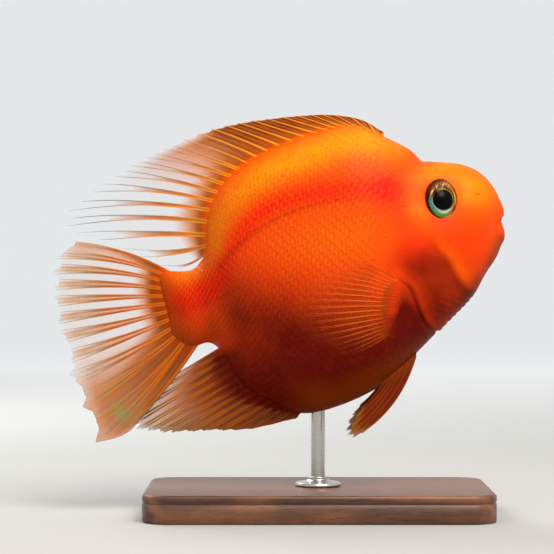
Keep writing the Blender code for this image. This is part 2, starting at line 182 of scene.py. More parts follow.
def natural_spline(knots: Array, values: Array) -> Callable:
    """The natural cubic spline through rows of values.

    Args:
        knots: Where each row lies, rising.
        values: One row for each knot.

    Returns:
        A function from an array of places to their rows.
    """
    knots, values = np.asarray(knots, float), np.asarray(values, float)
    count, step = len(knots), np.diff(knots)
    system, pull = np.eye(count), np.zeros_like(values)
    rise = np.diff(values, axis=0) / step[:, None]
    for i in range(1, count - 1):
        system[i, i - 1 : i + 2] = step[i - 1], 2 * (step[i - 1] + step[i]), step[i]
        pull[i] = 6 * (rise[i] - rise[i - 1])
    bend = np.linalg.solve(system, pull)

    def at(places: Array) -> Array:
        """Between two knots, the straight line less the sag that the bends give it.

        Args:
            places: Where to read the spline.

        Returns:
            One row for each place.
        """
        places = np.asarray(places, float)
        i = np.clip(np.searchsorted(knots, places, side="right") - 1, 0, count - 2)
        late = ((places - knots[i]) / step[i])[..., None]
        early = 1 - late
        sag = (early**3 - early) * bend[i] + (late**3 - late) * bend[i + 1]
        return early * values[i] + late * values[i + 1] + sag * step[i][..., None] ** 2 / 6

    return at


class Path:
    """A smooth line on the side view, through points in millimetres."""

    STEPS = 60

    def __init__(self, *points: tuple) -> None:
        """Splines the points by their chord lengths.

        Args:
            points: The line's points (x, z).
        """
        corners = np.array(points, float)
        lengths = summed(np.linalg.norm(np.diff(corners, axis=0), axis=1))
        self.points = natural_spline(lengths, corners)(np.linspace(0, lengths[-1], self.STEPS))

    def near(self, x: Array, z: Array) -> tuple[Array, Array]:
        """How far points lie from the line, and where along it.

        Args:
            x: Forward coordinates.
            z: Upward coordinates.

        Returns:
            The distance, positive to the left of the line's direction, and the share of the
            line, 0 to 1, at the nearest place.
        """
        best = np.full(x.shape, np.inf)
        signed, share = np.zeros(x.shape), np.zeros(x.shape)
        for i, (start, end) in enumerate(zip(self.points, self.points[1:])):
            run, rise = end - start
            t = ((x - start[0]) * run + (z - start[1]) * rise) / math.hypot(run, rise) ** 2
            t = np.clip(t, 0, 1)
            dx, dz = x - start[0] - t * run, z - start[1] - t * rise
            away = np.hypot(dx, dz)
            closer = away < best
            best = np.where(closer, away, best)
            side = np.where(run * dz - rise * dx >= 0, 1.0, -1.0)
            signed = np.where(closer, side * away, signed)
            share = np.where(closer, (i + t) / (self.STEPS - 1), share)
        return signed, share

    def stroke(self, x: Array, z: Array, width: float) -> Array:
        """A soft brush stroke along the line: the bell of the distance over the width."""
        return bell(self.near(x, z)[0], 0.0, width)


@dataclass(frozen=True)
class Pose:
    """Where the level fish stands in the world: tipped nose-up about y, then lifted."""

    nose_up: float = math.radians(13)
    height: float = 0.110

    def place(self, points: Array) -> Array:
        """Turns points of the fish frame into world points.

        Args:
            points: Points in the fish frame.

        Returns:
            The same points in the world.
        """
        x, y, z = np.moveaxis(points, -1, 0)
        cos, sin = math.cos(self.nose_up), math.sin(self.nose_up)
        return np.stack((x * cos - z * sin, y, x * sin + z * cos + self.height), axis=-1)


POSE = Pose()


def make_piece(
    name: str, points: Array, faces: list, replaces: tuple, material: Material
) -> Object:
    """Makes a smooth piece of the model whose faces point outwards.

    The sign of its volume, the sum of p0·(p1×p2) over its triangles, tells whether the faces
    have to be turned round.

    Args:
        name: The piece's name.
        points: World points, one row each.
        faces: Arrays of corner numbers, each of one corner count.
        replaces: The CAD nodes it stands for.
        material: Its finish.

    Returns:
        The new object.
    """
    volume = 0.0
    for block in faces:
        for k in range(1, block.shape[1] - 1):
            a, b, c = points[block[:, 0]], points[block[:, k]], points[block[:, k + 1]]
            volume += float(np.einsum("ij,ij->", a, np.cross(b, c)))
    corners = [row for block in faces for row in block[:, :: 1 if volume > 0 else -1].tolist()]
    piece = make_object(name, points, corners, material)
    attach(piece, "root")
    if replaces:
        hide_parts(*replaces)
    log.info("%s: %d points, %d faces", name, len(points), len(corners))
    return piece


def make_object(name: str, points: Array, corners: list, material: Material) -> Object:
    """Makes a smooth mesh and puts it in the scene.

    Args:
        name: The object's name.
        points: Its points, one row each.
        corners: The corner numbers of each face.
        material: Its finish.

    Returns:
        The new object.
    """
    mesh = bpy.data.meshes.new(name)
    mesh.from_pydata(points.tolist(), [], corners)
    mesh.update()
    mesh.shade_smooth()
    mesh.materials.append(material)
    return put(name, mesh)


def put(name: str, data: bpy.types.ID) -> Object:
    """Puts a new object in the scene.

    Args:
        name: The object's name.
        data: Its mesh, lamp or camera.

    Returns:
        The new object.
    """
    item = bpy.data.objects.new(name, data)
    bpy.context.scene.collection.objects.link(item)
    return item


def paint_points(piece: Object, name: str, *channels: Array) -> None:
    """Stores up to four masks as one colour attribute of the piece's points.

    Args:
        piece: The piece.
        name: The attribute's name.
        channels: The masks, one value for each point; missing ones are 0, and alpha is 1.
    """
    colours = np.zeros((len(piece.data.vertices), 4), np.float32)
    colours[:, 3] = 1.0
    for i, channel in enumerate(channels):
        colours[:, i] = np.ravel(channel)
    layer = piece.data.color_attributes.new(name, "FLOAT_COLOR", "POINT")
    layer.data.foreach_set("color", colours.ravel())


def mark_points(piece: Object, name: str, mask: Array) -> None:
    """Stores one mask as a number attribute of the piece's points."""
    layer = piece.data.attributes.new(name, "FLOAT", "POINT")
    layer.data.foreach_set("value", mask.astype(np.float32))


def map_points(piece: Object, name: str, places: Array) -> None:
    """Gives the piece a UV map.

    Args:
        piece: The piece.
        name: The map's name.
        places: One (u, v) for each of its points.
    """
    corners = np.empty(len(piece.data.loops), np.int32)
    piece.data.loops.foreach_get("vertex_index", corners)
    layer = piece.data.uv_layers.new(name=name)
    layer.data.foreach_set("uv", places[corners].astype(np.float32).ravel())


def grid_faces(rows: int, columns: int, wrap: bool, first: int = 0) -> Array:
    """The quads of a grid of points stored row by row.

    Args:
        rows: Number of rows.
        columns: Number of points in a row.
        wrap: Whether each row closes on itself.
        first: Number of the first point.

    Returns:
        One row of four corner numbers for each quad.
    """
    row = np.arange(rows - 1)[:, None] * columns
    here = np.arange(columns if wrap else columns - 1)[None, :]
    after = (here + 1) % columns
    quads = (row + here, row + columns + here, row + columns + after, row + after)
    return np.stack(quads, axis=-1).reshape(-1, 4) + first


def fan_faces(pole: int, ring: Array, turned: bool) -> Array:
    """The triangles from a pole to a closed ring of points.

    Args:
        pole: Number of the pole's point.
        ring: Numbers of the ring's points.
        turned: Whether the triangles are turned round.

    Returns:
        One row of three corner numbers for each triangle.
    """
    after, poles = np.roll(ring, -1), np.full(len(ring), pole)
    return np.stack((poles, after, ring) if turned else (poles, ring, after), axis=-1)


def close_rings(rings: Array, first_pole: Array, last_pole: Array) -> tuple[Array, list]:
    """Joins closed rings of points into a shell with a pole at each end.

    Args:
        rings: The rings, each a row of points.
        first_pole: The point that closes the first ring.
        last_pole: The point that closes the last ring.

    Returns:
        The points, the two poles last, and the blocks of faces, the grid's and the poles'.
    """
    rows, count = rings.shape[:2]
    points = np.concatenate([rings.reshape(-1, 3), [first_pole, last_pole]])
    ring = np.arange(count)
    ends = [
        fan_faces(rows * count, ring, turned=False),
        fan_faces(rows * count + 1, ring + (rows - 1) * count, turned=True),
    ]
    return points, [grid_faces(rows, count, wrap=True), np.concatenate(ends)]


def spin(radius: Array, height: Array, count: int) -> Array:
    """Spins a profile round the upright axis.

    Args:
        radius: The profile's distances from the axis.
        height: Its heights.
        count: Number of points in a ring.

    Returns:
        A ring of points for each point of the profile.
    """
    turn = np.linspace(0, 2 * math.pi, count, endpoint=False)
    radius, height = radius[:, None], height[:, None] + 0 * turn
    return np.stack((radius * np.cos(turn), radius * np.sin(turn), height), axis=-1)


def new_material(name: str) -> tuple[Material, NodeTree]:
    """Makes a material with an empty node tree.

    Args:
        name: What the real material is.

    Returns:
        The material and its tree.
    """
    material = bpy.data.materials.new(name)
    material.use_nodes = True
    material.node_tree.nodes.clear()
    return material, material.node_tree


def lay_colours(tree: NodeTree, under: str | Node | NodeSocket, *coats: tuple) -> NodeSocket:
    """Lays colours over one another, as a painter does, each by its own mask.

    Args:
        tree: The node tree.
        under: The first colour.
        coats: Pairs of a mask and the colour that it lays on, as add takes them.

    Returns:
        The colour output.
    """
    for mask, colour in coats:
        sockets = {MIX_SHARE: mask, MIX_UNDER: under, MIX_OVER: colour}
        under = add(tree, "Mix", sockets=sockets, data_type="RGBA").outputs[MIX_RESULT]
    return under


# ---------------------------------------------------------------- the body


class Station(NamedTuple):
    """A slice of the body.

    Args:
        name: Where it lies.
        back: Its point on the back (x, z).
        belly: Its point on the belly.
        half_width: Half its width.
        sweep: How far its flanks lie behind the straight line between those two points.
    """

    name: str
    back: tuple
    belly: tuple
    half_width: float
    sweep: float


STATIONS = (
    Station("mouth_rim", (0.0832, 0.0010), (0.0823, -0.0008), 0.0034, 0.0026),
    Station("lip_crest", (0.0843, 0.0027), (0.0823, -0.0070), 0.0056, 0.0034),
    Station("lip_root", (0.0839, 0.0080), (0.0800, -0.0108), 0.0080, 0.0040),
    Station("snout", (0.0828, 0.0128), (0.0764, -0.0156), 0.0107, 0.0036),
    Station("forehead", (0.0792, 0.0206), (0.0706, -0.0212), 0.0140, 0.0022),
    Station("brow", (0.0722, 0.0265), (0.0640, -0.0286), 0.0168, 0.0012),
    Station("eye", (0.0625, 0.0303), (0.0560, -0.0344), 0.0194, 0.0024),
    Station("nape", (0.0546, 0.0329), (0.0486, -0.0390), 0.0215, 0.0068),
    Station("hump_foot", (0.0512, 0.0362), (0.0442, -0.0414), 0.0230, 0.0112),
    Station("gill_edge", (0.0462, 0.0424), (0.0402, -0.0440), 0.0242, 0.0125),
    Station("shoulder", (0.0395, 0.0477), (0.0330, -0.0486), 0.0251, 0.0095),
    Station("hump", (0.0300, 0.0540), (0.0230, -0.0550), 0.0259, 0.0055),
    Station("crown", (0.0110, 0.0556), (0.0070, -0.0612), 0.0261, 0.0015),
    Station("back", (-0.0080, 0.0534), (-0.0100, -0.0638), 0.0245, 0.0),
    Station("rear_back", (-0.0240, 0.0484), (-0.0230, -0.0624), 0.0213, 0.0),
    Station("rump", (-0.0362, 0.0405), (-0.0350, -0.0545), 0.0169, -0.0006),
    Station("fin_end", (-0.0440, 0.0280), (-0.0452, -0.0440), 0.0125, -0.0016),
    Station("stalk_start", (-0.0474, 0.0152), (-0.0494, -0.0300), 0.0096, 0.0013),
    Station("stalk", (-0.0530, 0.0096), (-0.0540, -0.0236), 0.0074, 0.0010),
    Station("stalk_end", (-0.0600, 0.0098), (-0.0600, -0.0238), 0.0057, 0.0),
    Station("tail_root", (-0.0670, 0.0120), (-0.0660, -0.0215), 0.0036, -0.0020),
    Station("tail_tip", (-0.0750, 0.0040), (-0.0745, -0.0100), 0.0003, -0.0010),
)


@dataclass
class BodyForm:
    """The outline of the bare body: a spline of slanted slices from the mouth to the tail."""

    stations: tuple = STATIONS
    egg: float = -0.06  # negative puts a slice's widest point a little below its middle
    fullness: float = 0.10  # how much fuller a slice's shoulders are than an ellipse's
    nudge: float = 1e-5
    search_steps: int = 50
    pole: float = 0.05  # how near to the back and the belly a search goes

    def __post_init__(self) -> None:
        """Measures the stations' distances from the mouth and splines them."""
        ends = np.array([(s.back, s.belly) for s in self.stations])
        steps = np.linalg.norm(np.diff(ends, axis=0), axis=2).sum(axis=1)
        self.knots = summed(steps / 2)
        self.at = {s.name: float(d) for s, d in zip(self.stations, self.knots)}
        rows = [[*s.back, *s.belly, s.half_width, s.sweep] for s in self.stations]
        self.curve = natural_spline(self.knots, rows)

    def points(self, distance: Array, angle: Array) -> Array:
        """Points of the outline.

        A slice runs as a straight line from its back to its belly. With up = cos(angle) and
        out = sin(angle), the point lies up along that line, half_width·out·(1 + egg·up +
        fullness·up²) to the side, and sweep·out² behind the line.

        Args:
            distance: Distance of the slice from the mouth.
            angle: From the back (0) over the left flank, in radians.

        Returns:
            Points in the fish frame.
        """
        distance, angle = np.broadcast_arrays(distance, angle)
        back_x, back_z, belly_x, belly_z, width, sweep = np.moveaxis(self.curve(distance), -1, 0)
        up, out = np.cos(angle), np.sin(angle)
        x = (back_x + belly_x) / 2 + up * (back_x - belly_x) / 2 - sweep * out * out
        y = width * out * (1 + self.egg * up + self.fullness * up * up)
        z = (back_z + belly_z) / 2 + up * (back_z - belly_z) / 2
        return np.stack((x, y, z), axis=-1)

    def tangents(self, distance: Array, angle: Array) -> tuple[Array, Array, Array]:
        """The slopes along the body and around it, by central differences, and the outward unit
        normal, their cross product.

        Args:
            distance: Distances of the slices.
            angle: Angles round the slices.

        Returns:
            The change of place with distance, with angle, and the normal.
        """
        e = self.nudge
        along = (self.points(distance + e, angle) - self.points(distance - e, angle)) / (2 * e)
        around = (self.points(distance, angle + e) - self.points(distance, angle - e)) / (2 * e)
        return along, around, unit(np.cross(around, along))

    def find(self, x: Array, z: Array) -> tuple[Array, Array]:
        """Finds places of the side view on the left flank, by damped Newton steps.

        Args:
            x: Forward coordinates.
            z: Upward coordinates.

        Returns:
            The distance and the angle whose point shows there.
        """
        x, z = np.broadcast_arrays(np.asarray(x, float), np.asarray(z, float))
        distance, angle = np.full(x.shape, self.knots.mean()), np.full(x.shape, math.pi / 2)
        for _ in range(self.search_steps):
            here = self.points(distance, angle)
            along, around, _ = self.tangents(distance, angle)
            miss_x, miss_z = x - here[..., 0], z - here[..., 2]
            det = along[..., 0] * around[..., 2] - along[..., 2] * around[..., 0]
            det = np.where(np.abs(det) < 1e-12, 1e-12, det)
            move = (miss_x * around[..., 2] - miss_z * around[..., 0]) / det
            turn = (along[..., 0] * miss_z - along[..., 2] * miss_x) / det
            distance = np.clip(distance + move / 2, self.knots[0], self.knots[-1])
            angle = np.clip(angle + turn / 2, self.pole, math.pi - self.pole)
        return distance, angle

    def half_width_at(self, x: Array, z: Array) -> Array:
        """Half the body's width at points of its side view."""
        return self.points(*self.find(x, z))[..., 1]


BODY = BodyForm()


@dataclass(frozen=True)
class EyeSeat:
    """Where an eye sits: its middle on the side of the head, the half axes of its flattened
    globe, and how it is sunk and turned."""

    x: float = 0.0582
    z: float = 0.0141
    length: float = 0.0075
    height: float = 0.0092
    depth: float = 0.0047
    sunk: float = 0.0019
    forward: float = math.radians(24)
    up: float = math.radians(6)
    lean: float = math.radians(13)  # how far the oval leans forward, to stand upright in the world
    opening: tuple = (58.2, 14.2, 7.0, 8.8)  # the lids' oval in mm: middle x, z and half axes

    def lids(self, x: Array, z: Array) -> Array:
        """The oval distance from the middle of the lids' opening.

        Args:
            x: Forward coordinates in millimetres.
            z: Upward coordinates in millimetres.

        Returns:
            The distance, 1 at the opening's edge.
        """
        middle_x, middle_z, half_length, half_height = self.opening
        dx, dz = x - middle_x, z - middle_z
        cos, sin = math.cos(self.lean), math.sin(self.lean)
        return np.hypot((dx * cos - dz * sin) / half_length, (dx * sin + dz * cos) / half_height)

    def middle(self, side: Side) -> Array:
        """The globe's middle: the skin's point, moved in along the eye's axis.

        Args:
            side: The side of the head.

        Returns:
            A point in the fish frame.
        """
        half_width = float(BODY.half_width_at(self.x, self.z))
        y = side.value * (half_width - self.sunk * math.cos(self.forward))
        return np.array((self.x - self.sunk * math.sin(self.forward), y, self.z))

    def turn(self, side: Side) -> Array:
        """The rotation matrix from the eye's own axes, y being its axis, to the fish frame."""
        return np.array(Euler((side.value * self.up, 0, -side.value * self.forward)).to_matrix())


EYE_SEAT = EyeSeat()


class Landmarks:
    """The lines of the head and body on the side view, in millimetres."""

    gill_edge = Path(
        (47.5, 17.5), (42.0, 13.5), (36.4, 8.4), (31.2, 0.5), (30.2, -8.3), (32.3, -15.6),
        (35.2, -18.6), (36.6, -22.3), (37.3, -26.0), (37.9, -31.0), (39.6, -36.4), (44.0, -40.9),
        (50.0, -39.0),
    )
    cheek_edge = Path(
        (43.5, 13.0), (44.5, 8.0), (46.4, 3.2), (49.5, -3.3), (51.7, -7.4), (54.1, -11.2),
        (55.6, -15.5), (56.8, -19.3), (58.7, -23.4), (61.5, -26.2), (66.0, -27.5),
    )
    jaw_line = Path(
        (80.6, 0.2), (78.6, -1.6), (76.4, -5.4), (74.6, -9.3), (73.0, -13.4), (71.0, -18.0)
    )
    snout_fold = Path((82.6, 6.6), (80.2, 4.6), (78.0, 1.0), (76.2, -3.6))
    lateral_line = Path(
        (40.0, 14.5), (31.2, 18.8), (23.2, 21.9), (16.7, 23.7), (8.7, 24.5), (0.4, 24.4),
        (-8.0, 23.5), (-13.9, 22.2), (-20.5, 20.2), (-26.5, 18.0), (-33.5, 14.2), (-39.4, 10.2),
        (-42.5, 7.4),
    )
    pectoral_root = Path((31.2, -12.0), (29.2, -18.8), (27.6, -23.4), (26.0, -27.5))
    tail_line = Path((-36.0, -3.0), (-45.0, -5.6), (-54.0, -6.8), (-66.0, -5.6))
    gold_band = Path(
        (44.0, 41.5), (37.6, 44.5), (29.7, 47.2), (11.9, 46.6), (-4.2, 44.6), (-20.5, 40.0),
        (-32.6, 32.6), (-39.6, 25.0), (-43.0, 16.5),
    )
    red_band = Path(
        (44.0, 23.0), (38.0, 24.2), (24.1, 26.5), (10.7, 28.3), (-6.0, 28.6), (-20.4, 25.6),
        (-28.3, 20.6), (-37.4, 11.5), (-46.0, 2.0), (-55.0, -3.4), (-64.0, -5.0),
    )

    @classmethod
    def cover_edge(cls, x: Array, z: Array) -> tuple[Array, Array, Array]:
        """The free edge of the gill cover.

        Args:
            x: Forward coordinates.
            z: Upward coordinates.

        Returns:
            The distance in front of it, and the masks of its lower half and of all that shows.
        """
        edge, place = cls.gill_edge.near(x, z)
        end = 1 - ramp(place, 0.93, 1.0)
        return edge, ramp(place, 0.50, 0.62) * end, ramp(place, 0.38, 0.66) * end


@dataclass(frozen=True)
class Relief:
    """The folds, plates and hollows of the bare skin, in millimetres outwards."""

    socket_depth: float = 2.6
    socket_dip: float = 0.60
    brow_rise: float = 0.15
    cheek_rim: float = 0.14
    cheek_step: float = 0.60
    cover_rise: float = 0.42
    slit_depth: float = 0.50
    lip_rise: float = 0.12
    mouth_groove: float = 0.20
    snout_groove: float = 0.10
    nostril_at: tuple = (73.4, 12.6)
    nostril_size: tuple = (0.75, 0.6)
    nostril_depth: float = 0.9
    nostril_rim: float = 0.12
    throat_rise: float = 0.16
    throat_pitch: float = 3.1  # from one of the throat's folds to the next
    flesh_rise: tuple = (0.10, 0.05)  # of the coarse and of the fine unevenness

    # How high, where, how large and how far turned each soft cushion is.
    CUSHIONS = (
        (0.90, (50.5, 37.5), (5.0, 2.5), -48),  # the foot of the hump
        (0.30, (57.4, 33.0), (2.0, 2.6), -10),  # the nape before it
        (-0.60, (54.6, 33.2), (1.4, 3.0), 20),  # the fold between the two
        (0.55, (60.5, -6.0), (9.0, 11.0), 25),  # the cheek
        (0.45, (42.5, -6.5), (6.5, 8.0), -30),  # the gill cover
        (0.35, (73.5, 3.5), (4.0, 6.0), -20),  # the side of the snout
    )

    def at(self, x: Array, z: Array) -> Array:
        """How far the skin stands out at a place of the side view.

        It is the sum of: the soft cushions; the eye's socket, sunk inside an oval and dipped
        and rimmed round it; the step behind the cheek's edge; the gill cover, raised in front
        of its free edge with a slit behind the lower half; the folds of the lips and the jaw;
        the nostril's pit; the throat's folds; and a faint unevenness of the flesh.

        Args:
            x: Forward coordinates in millimetres.
            z: Upward coordinates in millimetres.

        Returns:
            Heights in metres.
        """
        eye = EYE_SEAT.lids(x, z)
        socket = -self.socket_depth * (1 - ramp(eye, 0.70, 0.92))
        socket -= self.socket_dip * bell(np.maximum(eye, 0.99), 0.99, 0.16)
        orbit = self.brow_rise * bell(eye, 1.70, 0.45)

        edge, place = Landmarks.cheek_edge.near(x, z)
        ends = ramp(place, 0.08, 0.50) * (1 - ramp(place, 0.80, 0.99))
        behind = ramp(-edge, -0.9, 1.2) * (1 - ramp(-edge, 1.5, 8.0))
        cheek = (self.cheek_rim * bell(edge, 2.2, 2.0) - self.cheek_step * behind) * ends

        edge, lower, shown = Landmarks.cover_edge(x, z)
        on_cover = ramp(edge, -0.45, 0.35) * (1 - ramp(edge, 3.0, 13.0))
        cover = (self.cover_rise * on_cover - 0.2 * bell(edge, 6.5, 1.6)) * shown
        cover -= (self.slit_depth * bell(edge, -0.75, 0.65) + 0.35 * bell(edge, 3.4, 0.9)) * lower

        jaw, place = Landmarks.jaw_line.near(x, z)
        ends = ramp(place, 0.0, 0.12) * (1 - ramp(place, 0.55, 1.0))
        groove = self.mouth_groove * bell(jaw, 0.0, 0.90)
        lips = (self.lip_rise * bell(jaw, -1.5, 1.4) - groove) * ends
        fold, place = Landmarks.snout_fold.near(x, z)
        groove = self.snout_groove * bell(fold, 0.0, 1.0)
        lips -= groove * np.sin(math.pi * np.clip(place, 0, 1))

        (nose_x, nose_z), (wide, high) = self.nostril_at, self.nostril_size
        pit = np.hypot((x - nose_x) / wide, (z - nose_z) / high)
        nostril = -self.nostril_depth * bell(pit, 0.0, 1.0) + self.nostril_rim * bell(pit, 1.9, 0.5)

        throat = ramp(-z, 24.0, 31.0) * ramp(x, 40.0, 46.0) * (1 - ramp(x, 60.0, 70.0))
        down = z + 0.62 * x + 0.004 * (x - 52) ** 2  # across the throat's folds, which bend
        folds = self.throat_rise * throat * np.cos(2 * math.pi * down / self.throat_pitch)

        coarse, fine = self.flesh_rise
        flesh = coarse * np.sin(x / 3.7 + 0.4 * z) * np.sin(z / 4.3 - 0.2 * x)
        flesh += fine * np.sin(x / 1.9 - z / 2.7) * np.sin(z / 2.2 + 1.3)
        cushions = blots(x, z, self.CUSHIONS)
        return (cushions + socket + orbit + cheek + cover + lips + nostril + folds + flesh) * MM


RELIEF = Relief()


@dataclass(frozen=True)
class MarkingsAndShade:
    """The fish's markings and the shade painted with them: a darker underside and gill region,
    partly their own colour and partly painted shade, painted shade in the gill slit and a
    painted shadow under the pectoral fin. They are worked out from the place on the side view
    in millimetres, so that skin, scales and the roots of the fins carry the same ones."""

    GOLD = (
        (0.70, (72.0, 16.0), (11.0, 8.5), -28),  # forehead
        (0.50, (60.0, 27.0), (13.0, 5.0), 6),  # crown
        (0.65, (-56.5, 8.0), (11.0, 4.4)),  # top of the tail stalk
        (0.38, (46.0, 12.0), (5.0, 8.5), 20),  # behind the eye
        (0.16, (10.0, 7.0), (22.0, 9.0), -10),  # flank
    )
    RED = (
        (0.52, (37.0, 22.0), (8.5, 8.0)),  # over the gill cover
        (0.22, (39.0, 12.0), (4.0, 7.0)),  # its upper edge
        (0.30, (62.0, -6.5), (13.0, 10.5), -20),  # cheek
        (0.55, (40.0, -5.0), (9.0, 12.0), -20),  # gill cover
        (0.45, (55.4, 4.9), (4.2, 1.2), -18),  # under the eye
    )
    DARK = (
        (0.16, (44.5, -9.0), (5.5, 6.0), -35),  # gill cover
        (0.95, (31.3, -31.5), (5.6, 14.0), 8),  # painted shadow under the pectoral fin
        (0.70, (67.0, -25.5), (11.0, 4.5), 40),  # throat, partly painted shade of the underside
        (0.40, (-76.0, -5.0), (6.0, 20.0)),  # root of the tail
    )
    AMBER = (
        (0.40, (62.0, -30.0), (11.0, 5.0), 35),  # throat
        (0.35, (-52.0, -20.0), (10.0, 6.0), 15),  # underside of the tail stalk
    )

    def at(self, x: Array, z: Array) -> tuple[Array, Array, Array, Array]:
        """The masks of the four colours laid over the orange.

        Each is the sum of its spots and of these. Gold lies on the band under the dorsal fin
        and along the cheek's edge. Red lies on the band over the lateral line and grows towards
        the belly. Dark lies on the lateral line. On the belly, the throat and behind the cheek it
        is partly their own darker colour and partly painted shade, in the slit it is painted shade,
        and under the pectoral fin it is a painted shadow. Amber is the brown of the jaw, partly
        painted shade where the jaw turns down, of the root of the tail and of the keel of the
        belly.

        Args:
            x: Forward coordinates in millimetres.
            z: Upward coordinates in millimetres.

        Returns:
            Gold, red, dark and amber, each from 0 to 1.
        """
        marks, low = Landmarks, -z - 0.42 * x  # low rises towards the belly and the tail
        cheek, place = marks.cheek_edge.near(x, z)
        on_cheek = ramp(place, 0.25, 0.55) * (1 - ramp(place, 0.78, 0.96))

        gold = marks.gold_band.stroke(x, z, 6.4) * (0.45 + 0.55 * ramp(x, -42, -2))
        gold *= 1 - 0.5 * ramp(x, 34, 44)
        gold += blots(x, z, self.GOLD) + 0.17 * bell(cheek, 2.6, 2.2) * on_cheek

        red = 0.85 * marks.red_band.stroke(x, z, 5.2) * (1 - ramp(x, 33.0, 47.0))
        red += blots(x, z, self.RED) + 0.35 * ramp(low, -8.0, 22.0)
        red *= 1 - 0.7 * marks.gold_band.stroke(x, z, 6.0)

        line, place = marks.lateral_line.near(x, z)
        dark = 0.28 * bell(line, 0.4, 1.1) * ramp(place, 0.05, 0.3)
        dark += 0.07 * marks.tail_line.stroke(x, z, 1.2) + blots(x, z, self.DARK)
        # Darker towards the belly, less on the stalk: partly its own colour, partly painted shade
        # of the underside.
        stalk = ramp(-x, 37, 56) * (1 - ramp(-z, 25, 32))
        dark += ramp(low, -1.0, 37.0) * (1 - 0.85 * stalk) * (1 - ramp(x, 44, 52))
        # Behind the cheek's edge, lower down: the gill region's darker red with painted shade of
        # the gill opening.
        behind = ramp(-cheek, -0.5, 1.6) * (1 - ramp(-cheek, 13.0, 24.0))
        dark += 0.72 * behind * ramp(-z, -3.0, 14.0)
        # Painted shade in the slit behind the lower gill cover.
        edge, lower, _ = marks.cover_edge(x, z)
        dark += 0.30 * bell(edge, -0.8, 0.9) * lower
        dark *= 1 - 0.60 * marks.pectoral_root.stroke(x, z, 2.8)
        dark -= 0.20 * blot(x, z, (-36.0, -26.0), (10.0, 12.0))

        # The jaw's amber is partly painted shade, where the jaw turns down.
        jaw = ramp(marks.jaw_line.near(x, z)[0], -3.0, 5.0) * ramp(x, 62.0, 73.0)
        keel = ramp(-z + 0.25 * np.abs(x + 4), 47.5, 62.0) * ramp(x, -32.0, -10.0)
        amber = 0.92 * jaw * ramp(-z, 0.0, 13.0) + 0.80 * ramp(-x - 0.25 * z, 59.0, 73.0)
        amber += 0.76 * keel + blots(x, z, self.AMBER)
        return tuple(np.clip(mask, 0.0, 1.0) for mask in (gold, red, dark, amber))


MARKINGS_AND_SHADE = MarkingsAndShade()


@dataclass(frozen=True)
class SkinPaint:
    """Lacquered flesh paint over cast resin: tints laid wet over one another, so they run into
    each other, under a thin satin varnish that gives the wet look of slime."""

    orange: str = "#DA4002"
    gold: str = "#E08202"
    red: str = "#DE1401"
    dark: str = "#5C0700"
    amber: str = "#843602"
    # The mouth colour darkens the inside of the lips: painted shade in the mouth.
    mouth: str = "#3A0803"
    olive: str = "#8E5200"
    mottle: float = 4.5 * MM
    grain: float = 0.55 * MM
    swings: tuple = (0.2, 0.2, 0.07, 0.1)  # how much the mottling sways gold, red, dark and amber
    shades: tuple = (0.90, 1.08)  # how the grain darkens and lightens the paint
    gloss: tuple = (0.36, 0.50)  # the varnish's roughness, as the mottling sways it

    def cloud(self, tree: NodeTree) -> Node:
        """Adds the slow noise that mottles the tints and the gloss.

        Args:
            tree: The node tree.

        Returns:
            The noise.
        """
        place = add(tree, "TexCoord").outputs["Object"]
        sockets = {"Vector": place, "Scale": 1 / self.mottle, "Detail": 4.0, "Roughness": 0.62}
        return add(tree, "TexNoise", sockets=sockets)

    def pigment_and_shade(self, tree: NodeTree, cloud: Node) -> NodeSocket:
        """Lays gold, red, dark and amber over the orange by the piece's "pigment" masks, whose dark
        and amber carry painted shade.

        Args:
            tree: The node tree.
            cloud: The noise that mottles the masks.

        Returns:
            The colour output.
        """
        masks = add(tree, "VertexColor", layer_name="pigment_and_shade")
        outputs = (*add(tree, "SeparateColor", masks).outputs, masks.outputs["Alpha"])
        colours = (self.gold, self.red, self.dark, self.amber)
        coats = []
        for mask, colour, swing in zip(outputs, colours, self.swings):
            spread = add(tree, "MapRange", cloud, 0.3, 0.7, 1 - swing, 1 + swing)
            edge = add(tree, "Math", mask, spread, operation="MULTIPLY", use_clamp=True)
            coats.append((edge, colour))
        return lay_colours(tree, self.orange, *coats)

    def make(self, name: str, scaled: bool) -> Material:
        """Makes the finish for the skin, with painted shade inside its mouth, or for the scales
        with their spots of painted shade and rims of painted highlight.

        Args:
            name: The material's name.
            scaled: Whether the piece carries the scales' own masks.

        Returns:
            The material.
        """
        material, tree = new_material(name)
        place = add(tree, "TexCoord").outputs["Object"]
        cloud = self.cloud(tree)
        sockets = {"Vector": place, "Scale": 1 / self.grain, "Detail": 2.0}
        dust = add(tree, "TexNoise", sockets=sockets)
        if scaled:
            # The scales' olive spots are painted shade of the gaps between them, and their gold
            # rims a painted highlight.
            own = add(tree, "VertexColor", layer_name="scale")
            spot, band, bright = add(tree, "SeparateColor", own).outputs
            coats = [(spot, self.olive), (band, self.dark), (bright, self.gold)]
        else:
            coats = [(add(tree, "Attribute", attribute_name="mouth").outputs["Fac"], self.mouth)]
        colour = lay_colours(tree, self.pigment_and_shade(tree, cloud), *coats)
        shade = add(tree, "MapRange", dust, 0.25, 0.75, *self.shades)
        bumps = {"Height": dust, "Strength": 0.25, "Distance": 0.10 * MM}
        shader = add(tree, "BsdfPrincipled", sockets={
            "Base Color": add(tree, "VectorMath", colour, shade, operation="MULTIPLY"),
            "Normal": add(tree, "Bump", sockets=bumps),
            "Roughness": add(tree, "MapRange", cloud, 0.3, 0.7, *self.gloss),
            "IOR": 1.40,
            "Specular IOR Level": 0.08,
        })
        add(tree, "OutputMaterial", shader)
        return material


